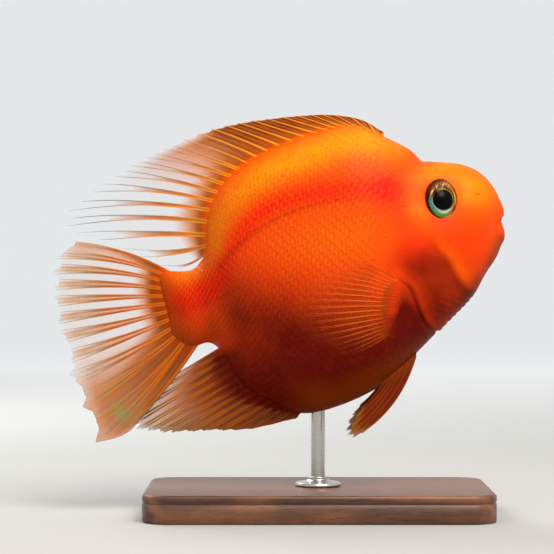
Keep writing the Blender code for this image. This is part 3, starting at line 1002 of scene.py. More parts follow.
@dataclass
class Skin:
    """The whole bare skin, from inside the lips to the root of the tail, in one piece."""

    sides: int = 420
    head_rows: int = 138
    body_rows: int = 76
    lip_rows: int = 9
    lip_fold: float = 0.0004  # how far back between the lips the skin goes
    lip_gap: float = 0.04  # share of the mouth's height left between the lips
    lip_width: float = 0.80  # and of its width
    bare_inset: float = 0.00005
    coat_inset: float = 0.00042
    nodes: tuple = (
        "snout", "lower_jaw", "head", "gill_cover_right", "gill_cover_left", "trunk", "tail_stalk"
    )

    def inset(self, x: Array, z: Array) -> Array:
        """How far the skin lies inside the outline: by the coat's depth where it is scaled."""
        share = ramp(ScaleCoat.front_line(z) - x, -2.0, 3.0)
        return self.bare_inset + (self.coat_inset - self.bare_inset) * share

    def lips(self, rim: Array) -> Array:
        """The inside of the lips: rings from deep between them out to the rim.

        Ring k is the rim drawn flat along its slice towards its middle, to lip_gap of its own
        height and lip_width of its width, and moved back by lip_fold, each by a quarter-circle
        ramp. The slice's slope keeps the rings in its swept plane.

        Args:
            rim: The rim's ring in the fish frame.

        Returns:
            The rings, the deepest first.
        """
        t = np.linspace(0, 1, self.lip_rows, endpoint=False)[:, None]
        open_share = 1 - np.sqrt(1 - t**2)
        height = self.lip_gap + (1 - self.lip_gap) * open_share
        middle = rim.mean(axis=0)
        away = rim - middle
        slice_x, _, slice_z = rim[0] - rim[len(rim) // 2]
        back = slice_x / slice_z * away[:, 2] * (1 - height) + self.lip_fold * (1 - open_share)
        across = away[:, 1] * (self.lip_width + (1 - self.lip_width) * open_share)
        return np.stack((rim[:, 0] - back, across, middle[2] + away[:, 2] * height), axis=-1)

    def build(self) -> None:
        """Lays the rings on the outline, moves them out along the normal by the relief less the
        inset, and closes the mouth and the tail with poles."""
        ends = [BODY.at[name] for name in ("mouth_rim", "hump", "tail_tip")]
        head = np.linspace(*ends[:2], self.head_rows, endpoint=False)
        distance = np.concatenate([head, np.linspace(*ends[1:], self.body_rows)])[:, None]
        angle = np.linspace(0, 2 * math.pi, self.sides, endpoint=False)[None, :]
        base = BODY.points(distance, angle)
        normal = BODY.tangents(distance, angle)[2]
        x, z = base[..., 0] / MM, base[..., 2] / MM
        fade = ramp(distance, BODY.at["mouth_rim"], BODY.at["lip_crest"])
        rise = RELIEF.at(x, z) * fade - self.inset(x, z)
        rings = np.concatenate([self.lips(base[0]), base + normal * rise[..., None]])
        mouth = (rings[0][0] + rings[0][self.sides // 2]) / 2
        points, faces = close_rings(rings, mouth, rings[-1].mean(axis=0))
        finish = SkinPaint().make("lacquered_flesh_paint", scaled=False)
        placed = POSE.place(points)
        piece = make_piece("fish_skin", placed, faces, self.nodes, finish)
        paint_points(piece, "pigment_and_shade", *MARKINGS_AND_SHADE.at(points[:, 0] / MM, points[:, 2] / MM))
        # The inside of the lips darkens towards the deepest ring: painted shade in the mouth.
        inside = np.zeros(len(points))
        depth = 1 - np.arange(self.lip_rows) / self.lip_rows
        inside[: self.lip_rows * self.sides] = np.repeat(ramp(depth, 0.05, 0.75), self.sides)
        inside[-2] = 1.0  # the mouth's pole
        mark_points(piece, "mouth", inside)


@dataclass
class ScaleCoat:
    """The scales of one flank: thin ovals in staggered columns, each with its front tucked under
    the one before and its free edge standing out."""

    side: Side
    column: float = 1.75 * MM  # from one column to the next; every other one is half a row lower
    row: float = 4.3 * MM
    back_reach: float = 3.0 * MM  # from a scale's middle to its free edge
    front_reach: float = 2.2 * MM
    overlap: float = 1.06
    lean: float = 0.14  # how far the columns lean forward, as a share of their height
    shrink: tuple = ((0.34, 0.012, 0.060), (0.24, 0.061, 0.072))  # how much, and over which -x
    uneven: tuple = (0.96, 1.05)  # how the scales' sizes vary
    tilted: tuple = (0.85, 1.15)  # and how far their edges stand out
    flatter: tuple = (0.65, 0.50, 0.75)  # how much less at the head, on the belly and the stalk
    glints: tuple = (0.30, 1.0)  # how strong the scales' bands and painted edge highlights are, at random
    gap_shade_spots: tuple = (0.25, 1.0)  # and their spots, painted shade that stands for the shadowed gaps between scales
    blunt: float = 0.70  # below 1 makes a scale's oval squarer
    root_depth: float = 0.15 * MM
    edge_height: float = 0.05 * MM
    thickness: float = 0.05 * MM
    belly: float = 0.03 * MM  # how much higher a scale's midline lies
    worn: float = 0.02 * MM  # how much lower its rim lies
    spokes: int = 14
    rings: tuple = (0.50, 0.93, 1.0)
    bare_ridge: float = 1.3 * MM  # how far the scales keep from the line of the back
    squared: tuple = (38.0, 46.0)  # mm behind the middle where scales turn square to the slices
    widest: float = 2.2  # how much longer a scale gets where the slices fan out
    patch: float = 0.003  # size of a scale on the unwrap of the body
    measured: float = 0.006  # how far past the tail's root the columns are measured out
    last: float = 0.004  # and how far past it the last ones lie
    slices: int = 900  # steps along the body for measuring
    stops: int = 361  # and round a slice
    edge: float = 0.03  # how far, in angle, a slice keeps from the lines of back and belly
    most: int = 40  # rows that would fit on either side of the flank's middle
    seeds: tuple = (7, 8)  # of the left and the right flank's unevenness

    FRONT_HEIGHTS = (-60, -46, -40, -36, -27, -17, -8.3, 0.5, 9.4, 15, 22, 30, 36, 44, 52)
    FRONT_STARTS = (30, 35, 37.0, 35.6, 33.0, 28.6, 27.0, 28.0, 34.6, 41, 44.5, 46, 46, 42, 34)

    @classmethod
    def front_line(cls, z: Array) -> Array:
        """Where the scales begin behind the head, x for each z, in millimetres."""
        return np.interp(z, cls.FRONT_HEIGHTS, cls.FRONT_STARTS)

    def lattice(self) -> tuple[Array, Array, Array]:
        """The scales' middles on the flank.

        The columns are slices a column pitch apart along the flank's middle. Down each slice
        the scales lie a row pitch apart by its own arc length from that middle, and each is
        moved back by the lean times that length. Both pitches shrink towards the tail stalk.

        Returns:
            Distance, angle and relative size of each scale.
        """
        end = BODY.at["tail_root"]
        distance = np.linspace(BODY.at["lip_root"], end + self.measured, self.slices)
        middle = BODY.points(distance, math.pi / 2)
        size = np.ones(self.slices)
        for much, low, high in self.shrink:
            size -= much * ramp(-middle[:, 0], low, high)
        steps = np.linalg.norm(np.diff(middle, axis=0), axis=1)
        number = summed(steps / (self.column * (size[1:] + size[:-1]) / 2))
        angles = np.linspace(self.edge, math.pi - self.edge, self.stops)
        found = []
        for k, at in enumerate(np.interp(np.arange(int(number[-1])), number, distance)):
            arc = summed(np.linalg.norm(np.diff(BODY.points(at, angles), axis=0), axis=1))
            arc -= np.interp(math.pi / 2, angles, arc)
            scale_size = np.interp(at, distance, size)
            rows = np.arange(-self.most, self.most + 1) + 0.5 * (k % 2)
            here = rows * (self.row * scale_size)
            here = here[(here > arc[0] + self.bare_ridge) & (here < arc[-1])]
            turned = np.interp(here, arc, angles)
            found.append(np.stack([at + self.lean * here, turned, 0 * here + scale_size], axis=1))
        found = np.concatenate(found)
        found = found[found[:, 0] < end + self.last]
        middle = BODY.points(found[:, 0], found[:, 1]) / MM
        return tuple(found[middle[:, 0] < self.front_line(middle[:, 2])].T)

    def oval(self) -> tuple[Array, Array, Array]:
        """One scale, flat: its middle, its rings, and the rim again as its underside.

        It rises nearly evenly from the root to the free edge, with its midline a little higher
        and the rim's edge a little lower. The underside's rim lies one thickness lower still.

        Returns:
            How far back and down from its middle each point lies, and how high.
        """
        turn = np.tile(2 * math.pi * np.arange(self.spokes) / self.spokes, len(self.rings))
        turn = np.concatenate([[0.0], turn])
        ring = np.concatenate([[0.0], np.repeat(self.rings, self.spokes)])
        cos, sin = np.cos(turn), np.sin(turn)
        reach = np.where(cos > 0, self.back_reach, self.front_reach)
        a = ring * reach * np.sign(cos) * np.abs(cos) ** self.blunt
        b = ring * np.sign(sin) * np.abs(sin) ** self.blunt * self.row / 2 * self.overlap
        way = (a + self.front_reach) / (self.back_reach + self.front_reach)
        height = -self.root_depth + (self.root_depth + self.edge_height) * way**0.9
        height += self.belly * (1 - (b / b.max()) ** 2) - self.worn * (ring == 1.0)
        under = (a[-self.spokes :], b[-self.spokes :], height[-self.spokes :] - self.thickness)
        return tuple(np.concatenate(pair) for pair in zip((a, b, height), under))

    def blocks(self, count: int, each: int) -> list:
        """The faces of all the scales: the top's fan and rings, the wall and the underside.

        Args:
            count: Number of scales.
            each: Number of points in one.

        Returns:
            Blocks of faces, each of one corner count.
        """
        rim = np.arange(self.spokes) + each - 2 * self.spokes
        after = np.roll(rim, -1)
        one = (
            fan_faces(0, np.arange(1, 1 + self.spokes), turned=False),
            grid_faces(len(self.rings), self.spokes, wrap=True, first=1),
            np.stack([rim, rim + self.spokes, after + self.spokes, after], axis=-1),
            (rim + self.spokes)[::-1][None, :],
        )
        starts = np.arange(count)[:, None, None] * each
        return [(starts + block).reshape(-1, block.shape[1]) for block in one]

    def build(self) -> None:
        """Lays one oval at each place of the lattice.

        A point of an oval lies back and down from its middle, sheared by the lean, and takes
        the body's distance and angle that the slopes there give it. Back runs along the body's
        lines, turned square to the slices on the tail stalk, where those lines slant, and a
        scale is longer where the slices fan out.
        """
        distance, angle, size = self.lattice()
        count = len(distance)
        rng = np.random.default_rng(self.seeds[0 if self.side is Side.LEFT else 1])
        size = (size * rng.uniform(*self.uneven, count))[:, None]
        along, around, _ = BODY.tangents(distance, angle)
        middle = BODY.points(distance, angle) / MM
        strip = unit(around)
        squared = ramp(-middle[:, :1], *self.squared) * dot(along, strip)
        back = unit(along - strip * squared)
        down = unit(around - back * dot(around, back))
        speed_back, drift_down = dot(along, back), dot(along, down)
        shear, speed_down = dot(around, back), dot(around, down)
        level = BODY.tangents(distance, np.full(count, math.pi / 2))[0]
        level = np.linalg.norm(level, axis=1, keepdims=True)
        stretch = np.clip(speed_back / level, 1.0, self.widest)

        a, b, height = self.oval()
        at_head, on_belly, on_stalk = self.flatter
        behind = ramp(self.front_line(middle[:, 2]) - middle[:, 0], 0.0, 14.0)
        bold = 1 - at_head + at_head * behind
        bold *= 1 - on_belly * ramp(-middle[:, 2], 10.0, 35.0)
        bold *= 1 - on_stalk * ramp(-middle[:, 0], 58.0, 69.0)
        tilt = (bold * rng.uniform(*self.tilted, count))[:, None]
        forth, fall = (a * stretch + self.lean * b) * size, b * size
        det = speed_back * speed_down - shear * drift_down
        d = distance[:, None] + (forth * speed_down - fall * shear) / det
        d = np.clip(d, 0, BODY.knots[-1])
        t = angle[:, None] + (fall * speed_back - forth * drift_down) / det
        points = BODY.points(d, t) + BODY.tangents(d, t)[2] * (height * tilt * size)[..., None]
        points = points.reshape(-1, 3) * (1, self.side.value, 1)

        side = self.side.name.lower()
        finish = SkinPaint().make(f"lacquered_scale_paint_{side}", scaled=True)
        faces = self.blocks(count, len(a))
        piece = make_piece(f"scales_{side}", POSE.place(points), faces, (), finish)
        gold, red, dark, amber = MARKINGS_AND_SHADE.at(points[:, 0] / MM, points[:, 2] / MM)
        paint_points(piece, "pigment_and_shade", gold, red, dark, amber)

        way = (a + self.front_reach) / (self.back_reach + self.front_reach)
        across = b / b.max()
        # Spots: painted shade of the shadowed gaps between scales, in the gold band. Bright rims: a
        # painted highlight along each free edge, weaker where the body is dark.
        keep = (bold * rng.uniform(*self.glints, count))[:, None]
        spot = rng.uniform(*self.gap_shade_spots, count)[:, None] * bell(way, 0.76, 0.20)
        spot = (spot * bell(across, 0.0, 0.75)).ravel() * np.minimum(gold * 1.5, 1) * 0.62
        band = (keep * bell(way, 0.70, 0.09)).ravel() * (0.20 + 0.24 * red)
        edge_highlight = 0.19 * (1 - 0.78 * dark) + 0.45 * gold
        bright = (keep * bell(way, 0.94, 0.10)).ravel() * edge_highlight
        paint_points(piece, "scale", spot, band, bright)

        u = distance[:, None] / BODY.knots[-1] + self.patch * (way - 0.5)
        v = angle[:, None] / math.pi + self.patch * across / 2
        map_points(piece, "OFBake", np.stack([u.ravel(), v.ravel()], axis=1))
        log.info("%s: %d scales of %d points", piece.name, count, len(a))


# ---------------------------------------------------------------- the fins

APART_END = 1.05  # where along a ray its strands would be fully apart


class Ray(NamedTuple):
    """A guide ray of a fin.

    Args:
        along: Where it lies along the fin, from 0 to 1.
        root: Its root (x, z).
        tip: Its tip.
        bow: How far its middle bows off the straight line between them.
    """

    along: float
    root: tuple
    tip: tuple
    bow: float = 0.0


@dataclass(frozen=True)
class FinPaint:
    """Tinted clear resin over moulded rays: the membrane lets light through where it is thin,
    and the rays are opaque paint, jointed like bamboo, which gives fine beads along them."""

    name: str
    flesh: str
    membrane: str
    lit: str  # the membrane's colour where it is thin and the light comes through
    # The colour of the membrane's fine folds: painted shade.
    fold: str
    ray_root: str
    ray_tip: str
    edge: str
    split: float  # half the distance between a ray's two strands at the tip, in ray spacings
    fork: float  # where along the ray its strands part
    parted: float = 0.035  # their half distance before that
    web: float = 0.0  # how opaque the web between the last two strands to part is
    veil: float = 0.0  # how opaque the membrane between the first two is
    web_end: tuple = (2.0, 3.0)  # where along the ray the web clears
    second_split: float = 0.0
    second_fork: float = 0.5
    strand: tuple = (0.30 * MM, 0.24 * MM)  # half width of a strand, at its root and tip
    spines: float = 0.0  # how many leading rays don't part
    folds: float = 3.0  # fine folds between two rays, painted as shade on the flat membrane
    joint: float = 0.9 * MM  # from one joint of a ray to the next
    buried: float = 0.10  # how far the strands still show in the flesh
    emerge: tuple = (0.70, 1.05)  # the shares of flesh between which they come out of it
    thin: tuple = (0.96, 0.55)  # how opaque the membrane is where it starts and ends to be lit
    dulled: tuple = (0.62, 0.55, 0.5)  # what the web keeps of the rays' red, green and blue
    streaks: tuple = (7.0, 2.2, 1.0)  # streaks to a ray's spacing, to its length, and upright
    bend: float = 9.0  # how far the streaks bend the folds
    torn: float = 0.30  # how unevenly the flesh ends
    shades: tuple = (0.84, 1.14)  # how the streaks darken and lighten the colour
    beads: tuple = (0.72, 1.0)  # and the joints the rays

    def width(self, out: Array) -> Array:
        """Half the width of a strand at a share of the way out."""
        return self.strand[0] + (self.strand[1] - self.strand[0]) * out

    def strands(self, tree: NodeTree, u: NodeSocket, v: NodeSocket) -> tuple[Node, Node, Node]:
        """Draws the strands, 1 along their lines and 0 beyond their half width, the web between
        the last strands to part, and the veil between the first.

        The distance from the nearest ray, less the half split at that place, gives the distance
        from the nearer strand, and the same once more for the second fork. The web lies where
        that last distance is still less than its split, and the veil inside the first split.

        Args:
            tree: The node tree.
            u: The place across the rays, in ray spacings.
            v: The way out, 0 to 1.

        Returns:
            The masks of the strands, of the web and of the veil.
        """
        soft = add(tree, "Math", u, self.spines - 0.5, operation="GREATER_THAN")
        middle = add(tree, "Math", u, 0.5, operation="ADD")
        middle = add(tree, "Math", middle, operation="FRACT")
        middle = add(tree, "Math", middle, 0.5, operation="SUBTRACT")
        near = cell = add(tree, "Math", middle, operation="ABSOLUTE")
        beyond = []
        for fork, start, end in (
            (self.fork, self.parted, self.split), (self.second_fork, 0.0, self.second_split)
        ):
            sockets = {0: v, 1: fork, 2: APART_END, 3: start, 4: end}
            apart = add(tree, "MapRange", sockets=sockets, interpolation_type="SMOOTHSTEP")
            apart = add(tree, "Math", apart, soft, operation="MULTIPLY")
            beyond.append(add(tree, "Math", near, apart, operation="SUBTRACT"))
            near = add(tree, "Math", beyond[-1], operation="ABSOLUTE")
        pitch = add(tree, "Attribute", attribute_name="pitch").outputs["Fac"]
        away = add(tree, "Math", near, pitch, operation="MULTIPLY")
        inside = beyond[1 if self.second_split else 0]
        inside = add(tree, "Math", inside, pitch, operation="MULTIPLY")
        filled = add(tree, "MapRange", inside, 0.0, 0.3 * MM, self.web, 0.0)
        lasting = add(tree, "MapRange", v, *self.web_end, 1.0, 0.0)
        web = add(tree, "Math", filled, lasting, operation="MULTIPLY")
        veil = add(tree, "MapRange", beyond[0], 0.02, -0.02, 0.0, self.veil)
        width = add(tree, "MapRange", v, 0.0, 1.0, *self.strand)
        share = add(tree, "Math", away, width, operation="DIVIDE")
        return add(tree, "MapRange", share, 1.0, 0.45, 0.0, 1.0), web, veil

    def make(self) -> Material:
        """Makes the finish.

        The mask "tints" holds the way to the tip's colour, the painted shade of the folds, the
        flesh over the root and the edge colour; "cover" is how opaque the membrane is, and it
        takes its lit colour where that is low; "reach" is the metres from the root, "pitch"
        those between two rays, "firm" how opaque the strands and their web are, and "own" how
        far the flesh leaves the body's markings and their painted shade for its own colour. The
        flesh runs out along the rays unevenly, so its end looks ragged.

        Returns:
            The material.
        """
        material, tree = new_material(self.name)
        masks = add(tree, "VertexColor", layer_name="tints")
        tip, fold_shade_amount, grown = add(tree, "SeparateColor", masks).outputs
        cover, reach, firm, own = (
            add(tree, "Attribute", attribute_name=name).outputs["Fac"]
            for name in ("cover", "reach", "firm", "own")
        )
        fan = add(tree, "UVMap", uv_map="fin")
        u, v, _ = add(tree, "SeparateXYZ", fan).outputs
        strand, web, veil = self.strands(tree, u, v)

        drawn = add(tree, "VectorMath", fan, self.streaks, operation="MULTIPLY")
        sockets = {"Vector": drawn, "Scale": 1.0, "Detail": 3.0}
        streak = add(tree, "TexNoise", sockets=sockets)
        # Painted shade of the fine folds: a dark wave across the membrane, bent by the streaks.
        turns = add(tree, "Math", u, 2 * math.pi * self.folds, operation="MULTIPLY")
        bent = add(tree, "Math", streak, self.bend, turns, operation="MULTIPLY_ADD")
        wave = add(tree, "Math", bent, operation="SINE")
        folded = add(tree, "MapRange", wave, -0.4, 0.9)
        fold_shade = add(tree, "Math", folded, fold_shade_amount, operation="MULTIPLY")

        beat = add(tree, "Math", reach, 2 * math.pi / self.joint, operation="MULTIPLY")
        pulse = add(tree, "Math", beat, operation="SINE")
        bead = add(tree, "MapRange", pulse, -1.0, 0.2, *self.beads)
        ray = lay_colours(tree, self.ray_root, (tip, self.ray_tip))
        body = SkinPaint()
        flesh = lay_colours(tree, body.pigment_and_shade(tree, body.cloud(tree)), (own, self.flesh))

        torn = add(tree, "MapRange", streak, 0.3, 0.7, -self.torn, self.torn)
        worn = add(tree, "Math", grown, torn, operation="ADD")
        fleshy = add(tree, "MapRange", worn, 0.30, 0.75)
        bare = add(tree, "MapRange", worn, *self.emerge, 2.0, 2 * self.buried)
        shown, webbed = (
            add(tree, "Math", mask, bare, operation="MULTIPLY", use_clamp=True)
            for mask in (strand, web)
        )
        colour = lay_colours(
            tree,
            self.membrane,
            (fold_shade, self.fold),
            (add(tree, "MapRange", cover, *self.thin), self.lit),
            (fleshy, flesh),
            (webbed, add(tree, "VectorMath", ray, self.dulled, operation="MULTIPLY")),
            (shown, add(tree, "VectorMath", ray, bead, operation="MULTIPLY")),
            (masks.outputs["Alpha"], self.edge),
        )
        shade = add(tree, "MapRange", streak, 0.3, 0.7, *self.shades)
        veiled = add(tree, "Math", web, veil, operation="MAXIMUM")
        drawing = add(tree, "Math", veiled, strand, operation="MAXIMUM")
        fading = add(tree, "Math", drawing, firm, operation="MULTIPLY")
        film = add(tree, "Math", cover, shade, operation="MULTIPLY")
        lined = add(tree, "Math", film, fading, operation="MAXIMUM")
        shader = add(tree, "BsdfPrincipled", sockets={
            "Base Color": add(tree, "VectorMath", colour, shade, operation="MULTIPLY"),
            "Alpha": add(tree, "Math", lined, fleshy, operation="MAXIMUM", use_clamp=True),
            "Roughness": 0.45,
            "IOR": 1.40,
            "Specular IOR Level": 0.08,
        })
        add(tree, "OutputMaterial", shader)
        return material


@dataclass
class Fin:
    """A fan of rays between its roots and its margin, on the midplane or on a flank. Its masks
    are functions of the place along the fin and the share of the way out, each 0 to 1."""

    name: str
    rays: int
    guides: tuple
    paint: FinPaint
    root_thickness: float
    paired: bool = False
    spread: float = 0.0  # how far it slants out, as a share of its ray length
    curl: float = 0.0
    notch: tuple = (0.05, 0.10)  # how deep the margin dips between rays, at the first and the last
    ragged: float = 0.02  # how unevenly long the rays are
    flutter: float = 0.0006  # sideways wave of the free part
    rows: int = 72
    sunk: float = 0.0025  # how far the roots start under the skin
    seed: int = 1
    cover: Callable = lambda along, out: 1 - 0.5 * out
    flesh: Callable = lambda along, out: 1 - ramp(out, 0.0, 0.08)
    own: Callable = lambda along, out: out * 0
    firm: Callable = lambda along, out: 1 - ramp(out, 0.84, 1.0)
    tints: Callable = lambda along, out, across: (out * 0, out * 0, out * 0)
    stout: Callable = lambda along: 1.0
    fillet: float = 0.0  # how much thicker it is right at the root, where it grows out of the body
    film: float = 0.06 * MM  # half the membrane's thickness
    ridge: float = 0.22 * MM  # how far a ray stands out of it
    closest: float = 0.35 * MM  # the least distance between two rays that counts
    swell: float = 0.30  # the share of the way out over which the root's thickness goes
    waves: tuple = (2.3, 0.35, 9.0, 2.0)  # turns of the flutter along and out, and its beat

    INNER = (0.0, 0.40, 0.75, 1.0)  # columns from the ray's middle to the strand
    OUTER = (0.6, 1.2, 2.1)  # columns beyond the strand, in strand half widths
    UNDER = (-1.0, -1.0, -0.45, 0.0)  # how deep the first rows lie, as shares of sunk
    FILLET_REACH = 2.4 * MM

    def __post_init__(self) -> None:
        """Splines the guide rays into the fin's plan."""
        rows = [[*guide.root, *guide.tip, guide.bow] for guide in self.guides]
        self.plan = natural_spline([guide.along for guide in self.guides], rows)

    def surface(self, along: Array, out: Array, side: Side) -> Array:
        """The fin's middle surface.

        The point runs out along the straight line from root to tip, pushed off it by the
        parabola 4·bow·out·(1-out). A paired fin starts on the flank, and the whole ray leans
        aside by length·(spread·out + curl·out²), with a wave that grows towards the margin.
        Where out is below 0 the point lies that much of the length under the skin.

        Args:
            along: Place along the fin, 0 to 1.
            out: Share of the way from root to tip.
            side: The flank it stands on.

        Returns:
            Points in the fish frame.
        """
        root_x, root_z, tip_x, tip_z, bow = np.moveaxis(self.plan(along), -1, 0)
        run, rise = tip_x - root_x, tip_z - root_z
        length = np.hypot(run, rise)
        step = np.where(out < 0, out * (0.2 if self.paired else 1.0), out)
        hump = 4 * bow * step * (1 - step) / length
        x, z = root_x + run * step + rise * hump, root_z + rise * step - run * hump
        lift = length * (self.spread * np.maximum(out, 0) + self.curl * np.maximum(out, 0) ** 2)
        if self.paired:
            samples = np.linspace(0, 1, 40)
            roots = self.plan(samples)
            flank = BODY.half_width_at(roots[:, 0], roots[:, 1])
            lift = lift + np.interp(along, samples, flank) + length * np.minimum(out, 0.0)
        turns, outward, beat, start = self.waves
        wave = np.sin(2 * math.pi * (turns * along + outward * out)) * np.sin(beat * along + start)
        lift = lift + self.flutter * wave * np.clip(out, 0, 1) ** 2
        return np.stack((x, side.value * lift, z), axis=-1)

    def spacing(self, numbers: Array, way: Array) -> Array:
        """Metres between rays, at least as many as the closest that count.

        Args:
            numbers: The rays' places along the fin.
            way: Share of the way out for each row.

        Returns:
            The mean distance to the two neighbours, for each row and ray.
        """
        lines = self.surface(numbers[None, :] + 0 * way[:, None], way[:, None], Side.LEFT)
        gaps = np.maximum(np.linalg.norm(np.diff(lines, axis=1), axis=2), self.closest)
        return np.concatenate([gaps[:, :1], (gaps[:, 1:] + gaps[:, :-1]) / 2, gaps[:, -1:]], axis=1)

    def columns(self, way: Array, spacing: Array) -> tuple[Array, Array, Array]:
        """The columns of the mesh, which follow the strands as they part.

        From a ray's middle the columns go by INNER to the strand's line and by OUTER past it,
        and the last one lies midway to the next ray.

        Args:
            way: Share of the way out for each row.
            spacing: Metres between rays for each row and ray.

        Returns:
            The ray of each column; the columns' places in ray spacings for each row; and their
            distance from the nearest strand in metres.
        """
        paint = self.paint
        soft = (np.arange(self.rays) >= paint.spines).astype(float)[None, :]
        apart = (paint.split - paint.parted) * ramp(way, paint.fork, APART_END)[:, None]
        line = np.maximum(soft * (paint.parted + apart), 0.02)
        room = (0.5 - line) / (self.OUTER[-1] + 0.4)
        wide = np.minimum(paint.width(way[:, None]) / spacing, room)
        inner = [line * share for share in self.INNER]
        outer = [line + wide * share for share in self.OUTER]
        half = np.stack(inner + outer, axis=-1)
        places, owners = [], []
        for i in range(self.rays):
            last = i == self.rays - 1
            cell = [-half[:, i, :0:-1]] if i else []
            cell += [half[:, i, :1]] if last else [half[:, i], np.full((len(way), 1), 0.5)]
            places.append(i + np.concatenate(cell, axis=1))
            owners += [i] * places[-1].shape[1]
        places, owners = np.concatenate(places, axis=1), np.array(owners)
        off = np.abs(np.abs(places - owners) - soft[0, owners] * line[:, owners])
        return owners, places, off * spacing[:, owners]

    def margin(self, places: Array, owners: Array, off: Array, rng: np.random.Generator) -> Array:
        """How far out the fin reaches: each ray a little shorter than the last or longer, its
        strands unevenly so, and dips between them.

        Args:
            places: The columns' places in ray spacings, for each row.
            owners: The ray of each column.
            off: Distance from the nearest strand, 1 where a dip is full.
            rng: The source of the unevenness.

        Returns:
            The share of the ray's length, for each row and column.
        """
        away = np.clip(np.abs(places - owners), 0, 0.5) * 2
        uneven = 1 - self.ragged * rng.uniform(0, 1, self.rays)
        own, step = uneven[owners][None, :], np.interp(places, np.arange(self.rays), uneven)
        apart = rng.uniform(-1, 1, self.rays)[owners] * np.sign(places - owners)
        tip = own + (step - own) * away**3 + 0.6 * self.ragged * apart * np.sin(math.pi * away)
        depth = np.interp(owners / (self.rays - 1), (0, 1), self.notch)
        return tip - depth[None, :] * off**0.9

    def build(self, side: Side = Side.LEFT) -> None:
        """Makes the fin as a closed sheet: its middle surface moved both ways along its normal
        by half its thickness, with the two sheets sharing their outline.

        Args:
            side: The flank, for a paired fin.
        """
        numbers = np.linspace(0, 1, self.rays)
        way = np.linspace(0, 1, self.rows)
        spacing = self.spacing(numbers, way)
        owners, places, off = self.columns(way, spacing)
        dip = np.clip(off / (spacing[:, owners] * 0.35), 0, 1)
        tip = self.margin(places, owners, dip, np.random.default_rng(self.seed))
        along = np.clip(places / (self.rays - 1), 0, 1)
        plan = self.plan(numbers)
        length = np.hypot(plan[:, 2] - plan[:, 0], plan[:, 3] - plan[:, 1])
        reach = np.interp(along, numbers, length)
        out = tip * way[:, None]
        out[: len(self.UNDER)] = np.array(self.UNDER)[:, None] * self.sunk / reach[0]
        shown = np.clip(out, 0, 1)

        centre = self.surface(along, out, side)
        normal = unit(np.cross(np.gradient(centre, axis=0), np.gradient(centre, axis=1)))
        pad = np.clip(self.flesh(along, shown), 0, 1)
        grown = 0.25 + 0.75 * ramp(shown, 0.0, 0.05) if self.paired else 1.0
        ray = bell(off, 0.0, 0.85 * self.paint.width(shown))
        half = self.film + self.ridge * ray * (1 - 0.55 * shown)
        half += (self.root_thickness / 2 - half) * pad * np.exp(-shown / self.swell) * grown
        low = np.maximum(out * reach, -self.FILLET_REACH / 2)
        half += self.fillet * np.exp(-low / self.FILLET_REACH)
        half[0, :] = half[-1, :] = half[:, 0] = half[:, -1] = 0.0

        def both(mask: Array) -> Array:
            """Lays a mask or points out for both sheets, which share those of the outline.

            Args:
                mask: Its values for the middle surface.

            Returns:
                One row for each point of the piece.
            """
            mask = np.broadcast_to(mask, (*along.shape, *mask.shape[2:]))
            sheets = (mask, mask[1:-1, 1:-1])
            return np.concatenate([sheet.reshape(-1, *mask.shape[2:]) for sheet in sheets])

        rows, wide = along.shape
        second = np.arange(rows * wide).reshape(rows, wide)
        inner = np.arange((rows - 2) * (wide - 2)).reshape(rows - 2, wide - 2)
        second[1:-1, 1:-1] = rows * wide + inner
        quads = grid_faces(rows, wide, wrap=False)
        faces = [quads, second.ravel()[quads][:, ::-1]]
        points, offset = both(centre), both(normal * half[..., None])
        offset[rows * wide :] *= -1
        name = f"{self.name}_{side.name.lower()}" if self.paired else self.name
        placed = POSE.place(points + offset)
        piece = make_piece(f"{name}_shape", placed, faces, (name,), self.paint.make())

        tip_tint, fold, edge = self.tints(along, shown, places - owners)
        paint_points(piece, "tints", *(both(mask) for mask in (tip_tint, fold, pad, edge)))
        # The body's masks, with their painted shade and shadow, carried onto the fin's root.
        markings = MARKINGS_AND_SHADE.at(centre[..., 0] / MM, centre[..., 2] / MM)
        paint_points(piece, "pigment_and_shade", *(both(mask) for mask in markings))
        masks = {
            "cover": self.cover(along, shown),
            "own": self.own(along, shown),
            "firm": self.firm(along, shown),
            "reach": shown * reach,
            "pitch": spacing[:, owners] / self.stout(along),
        }
        for label, mask in masks.items():
            mark_points(piece, label, both(mask))
        map_points(piece, "fin", np.stack([both(places), both(way[:, None])], axis=1))


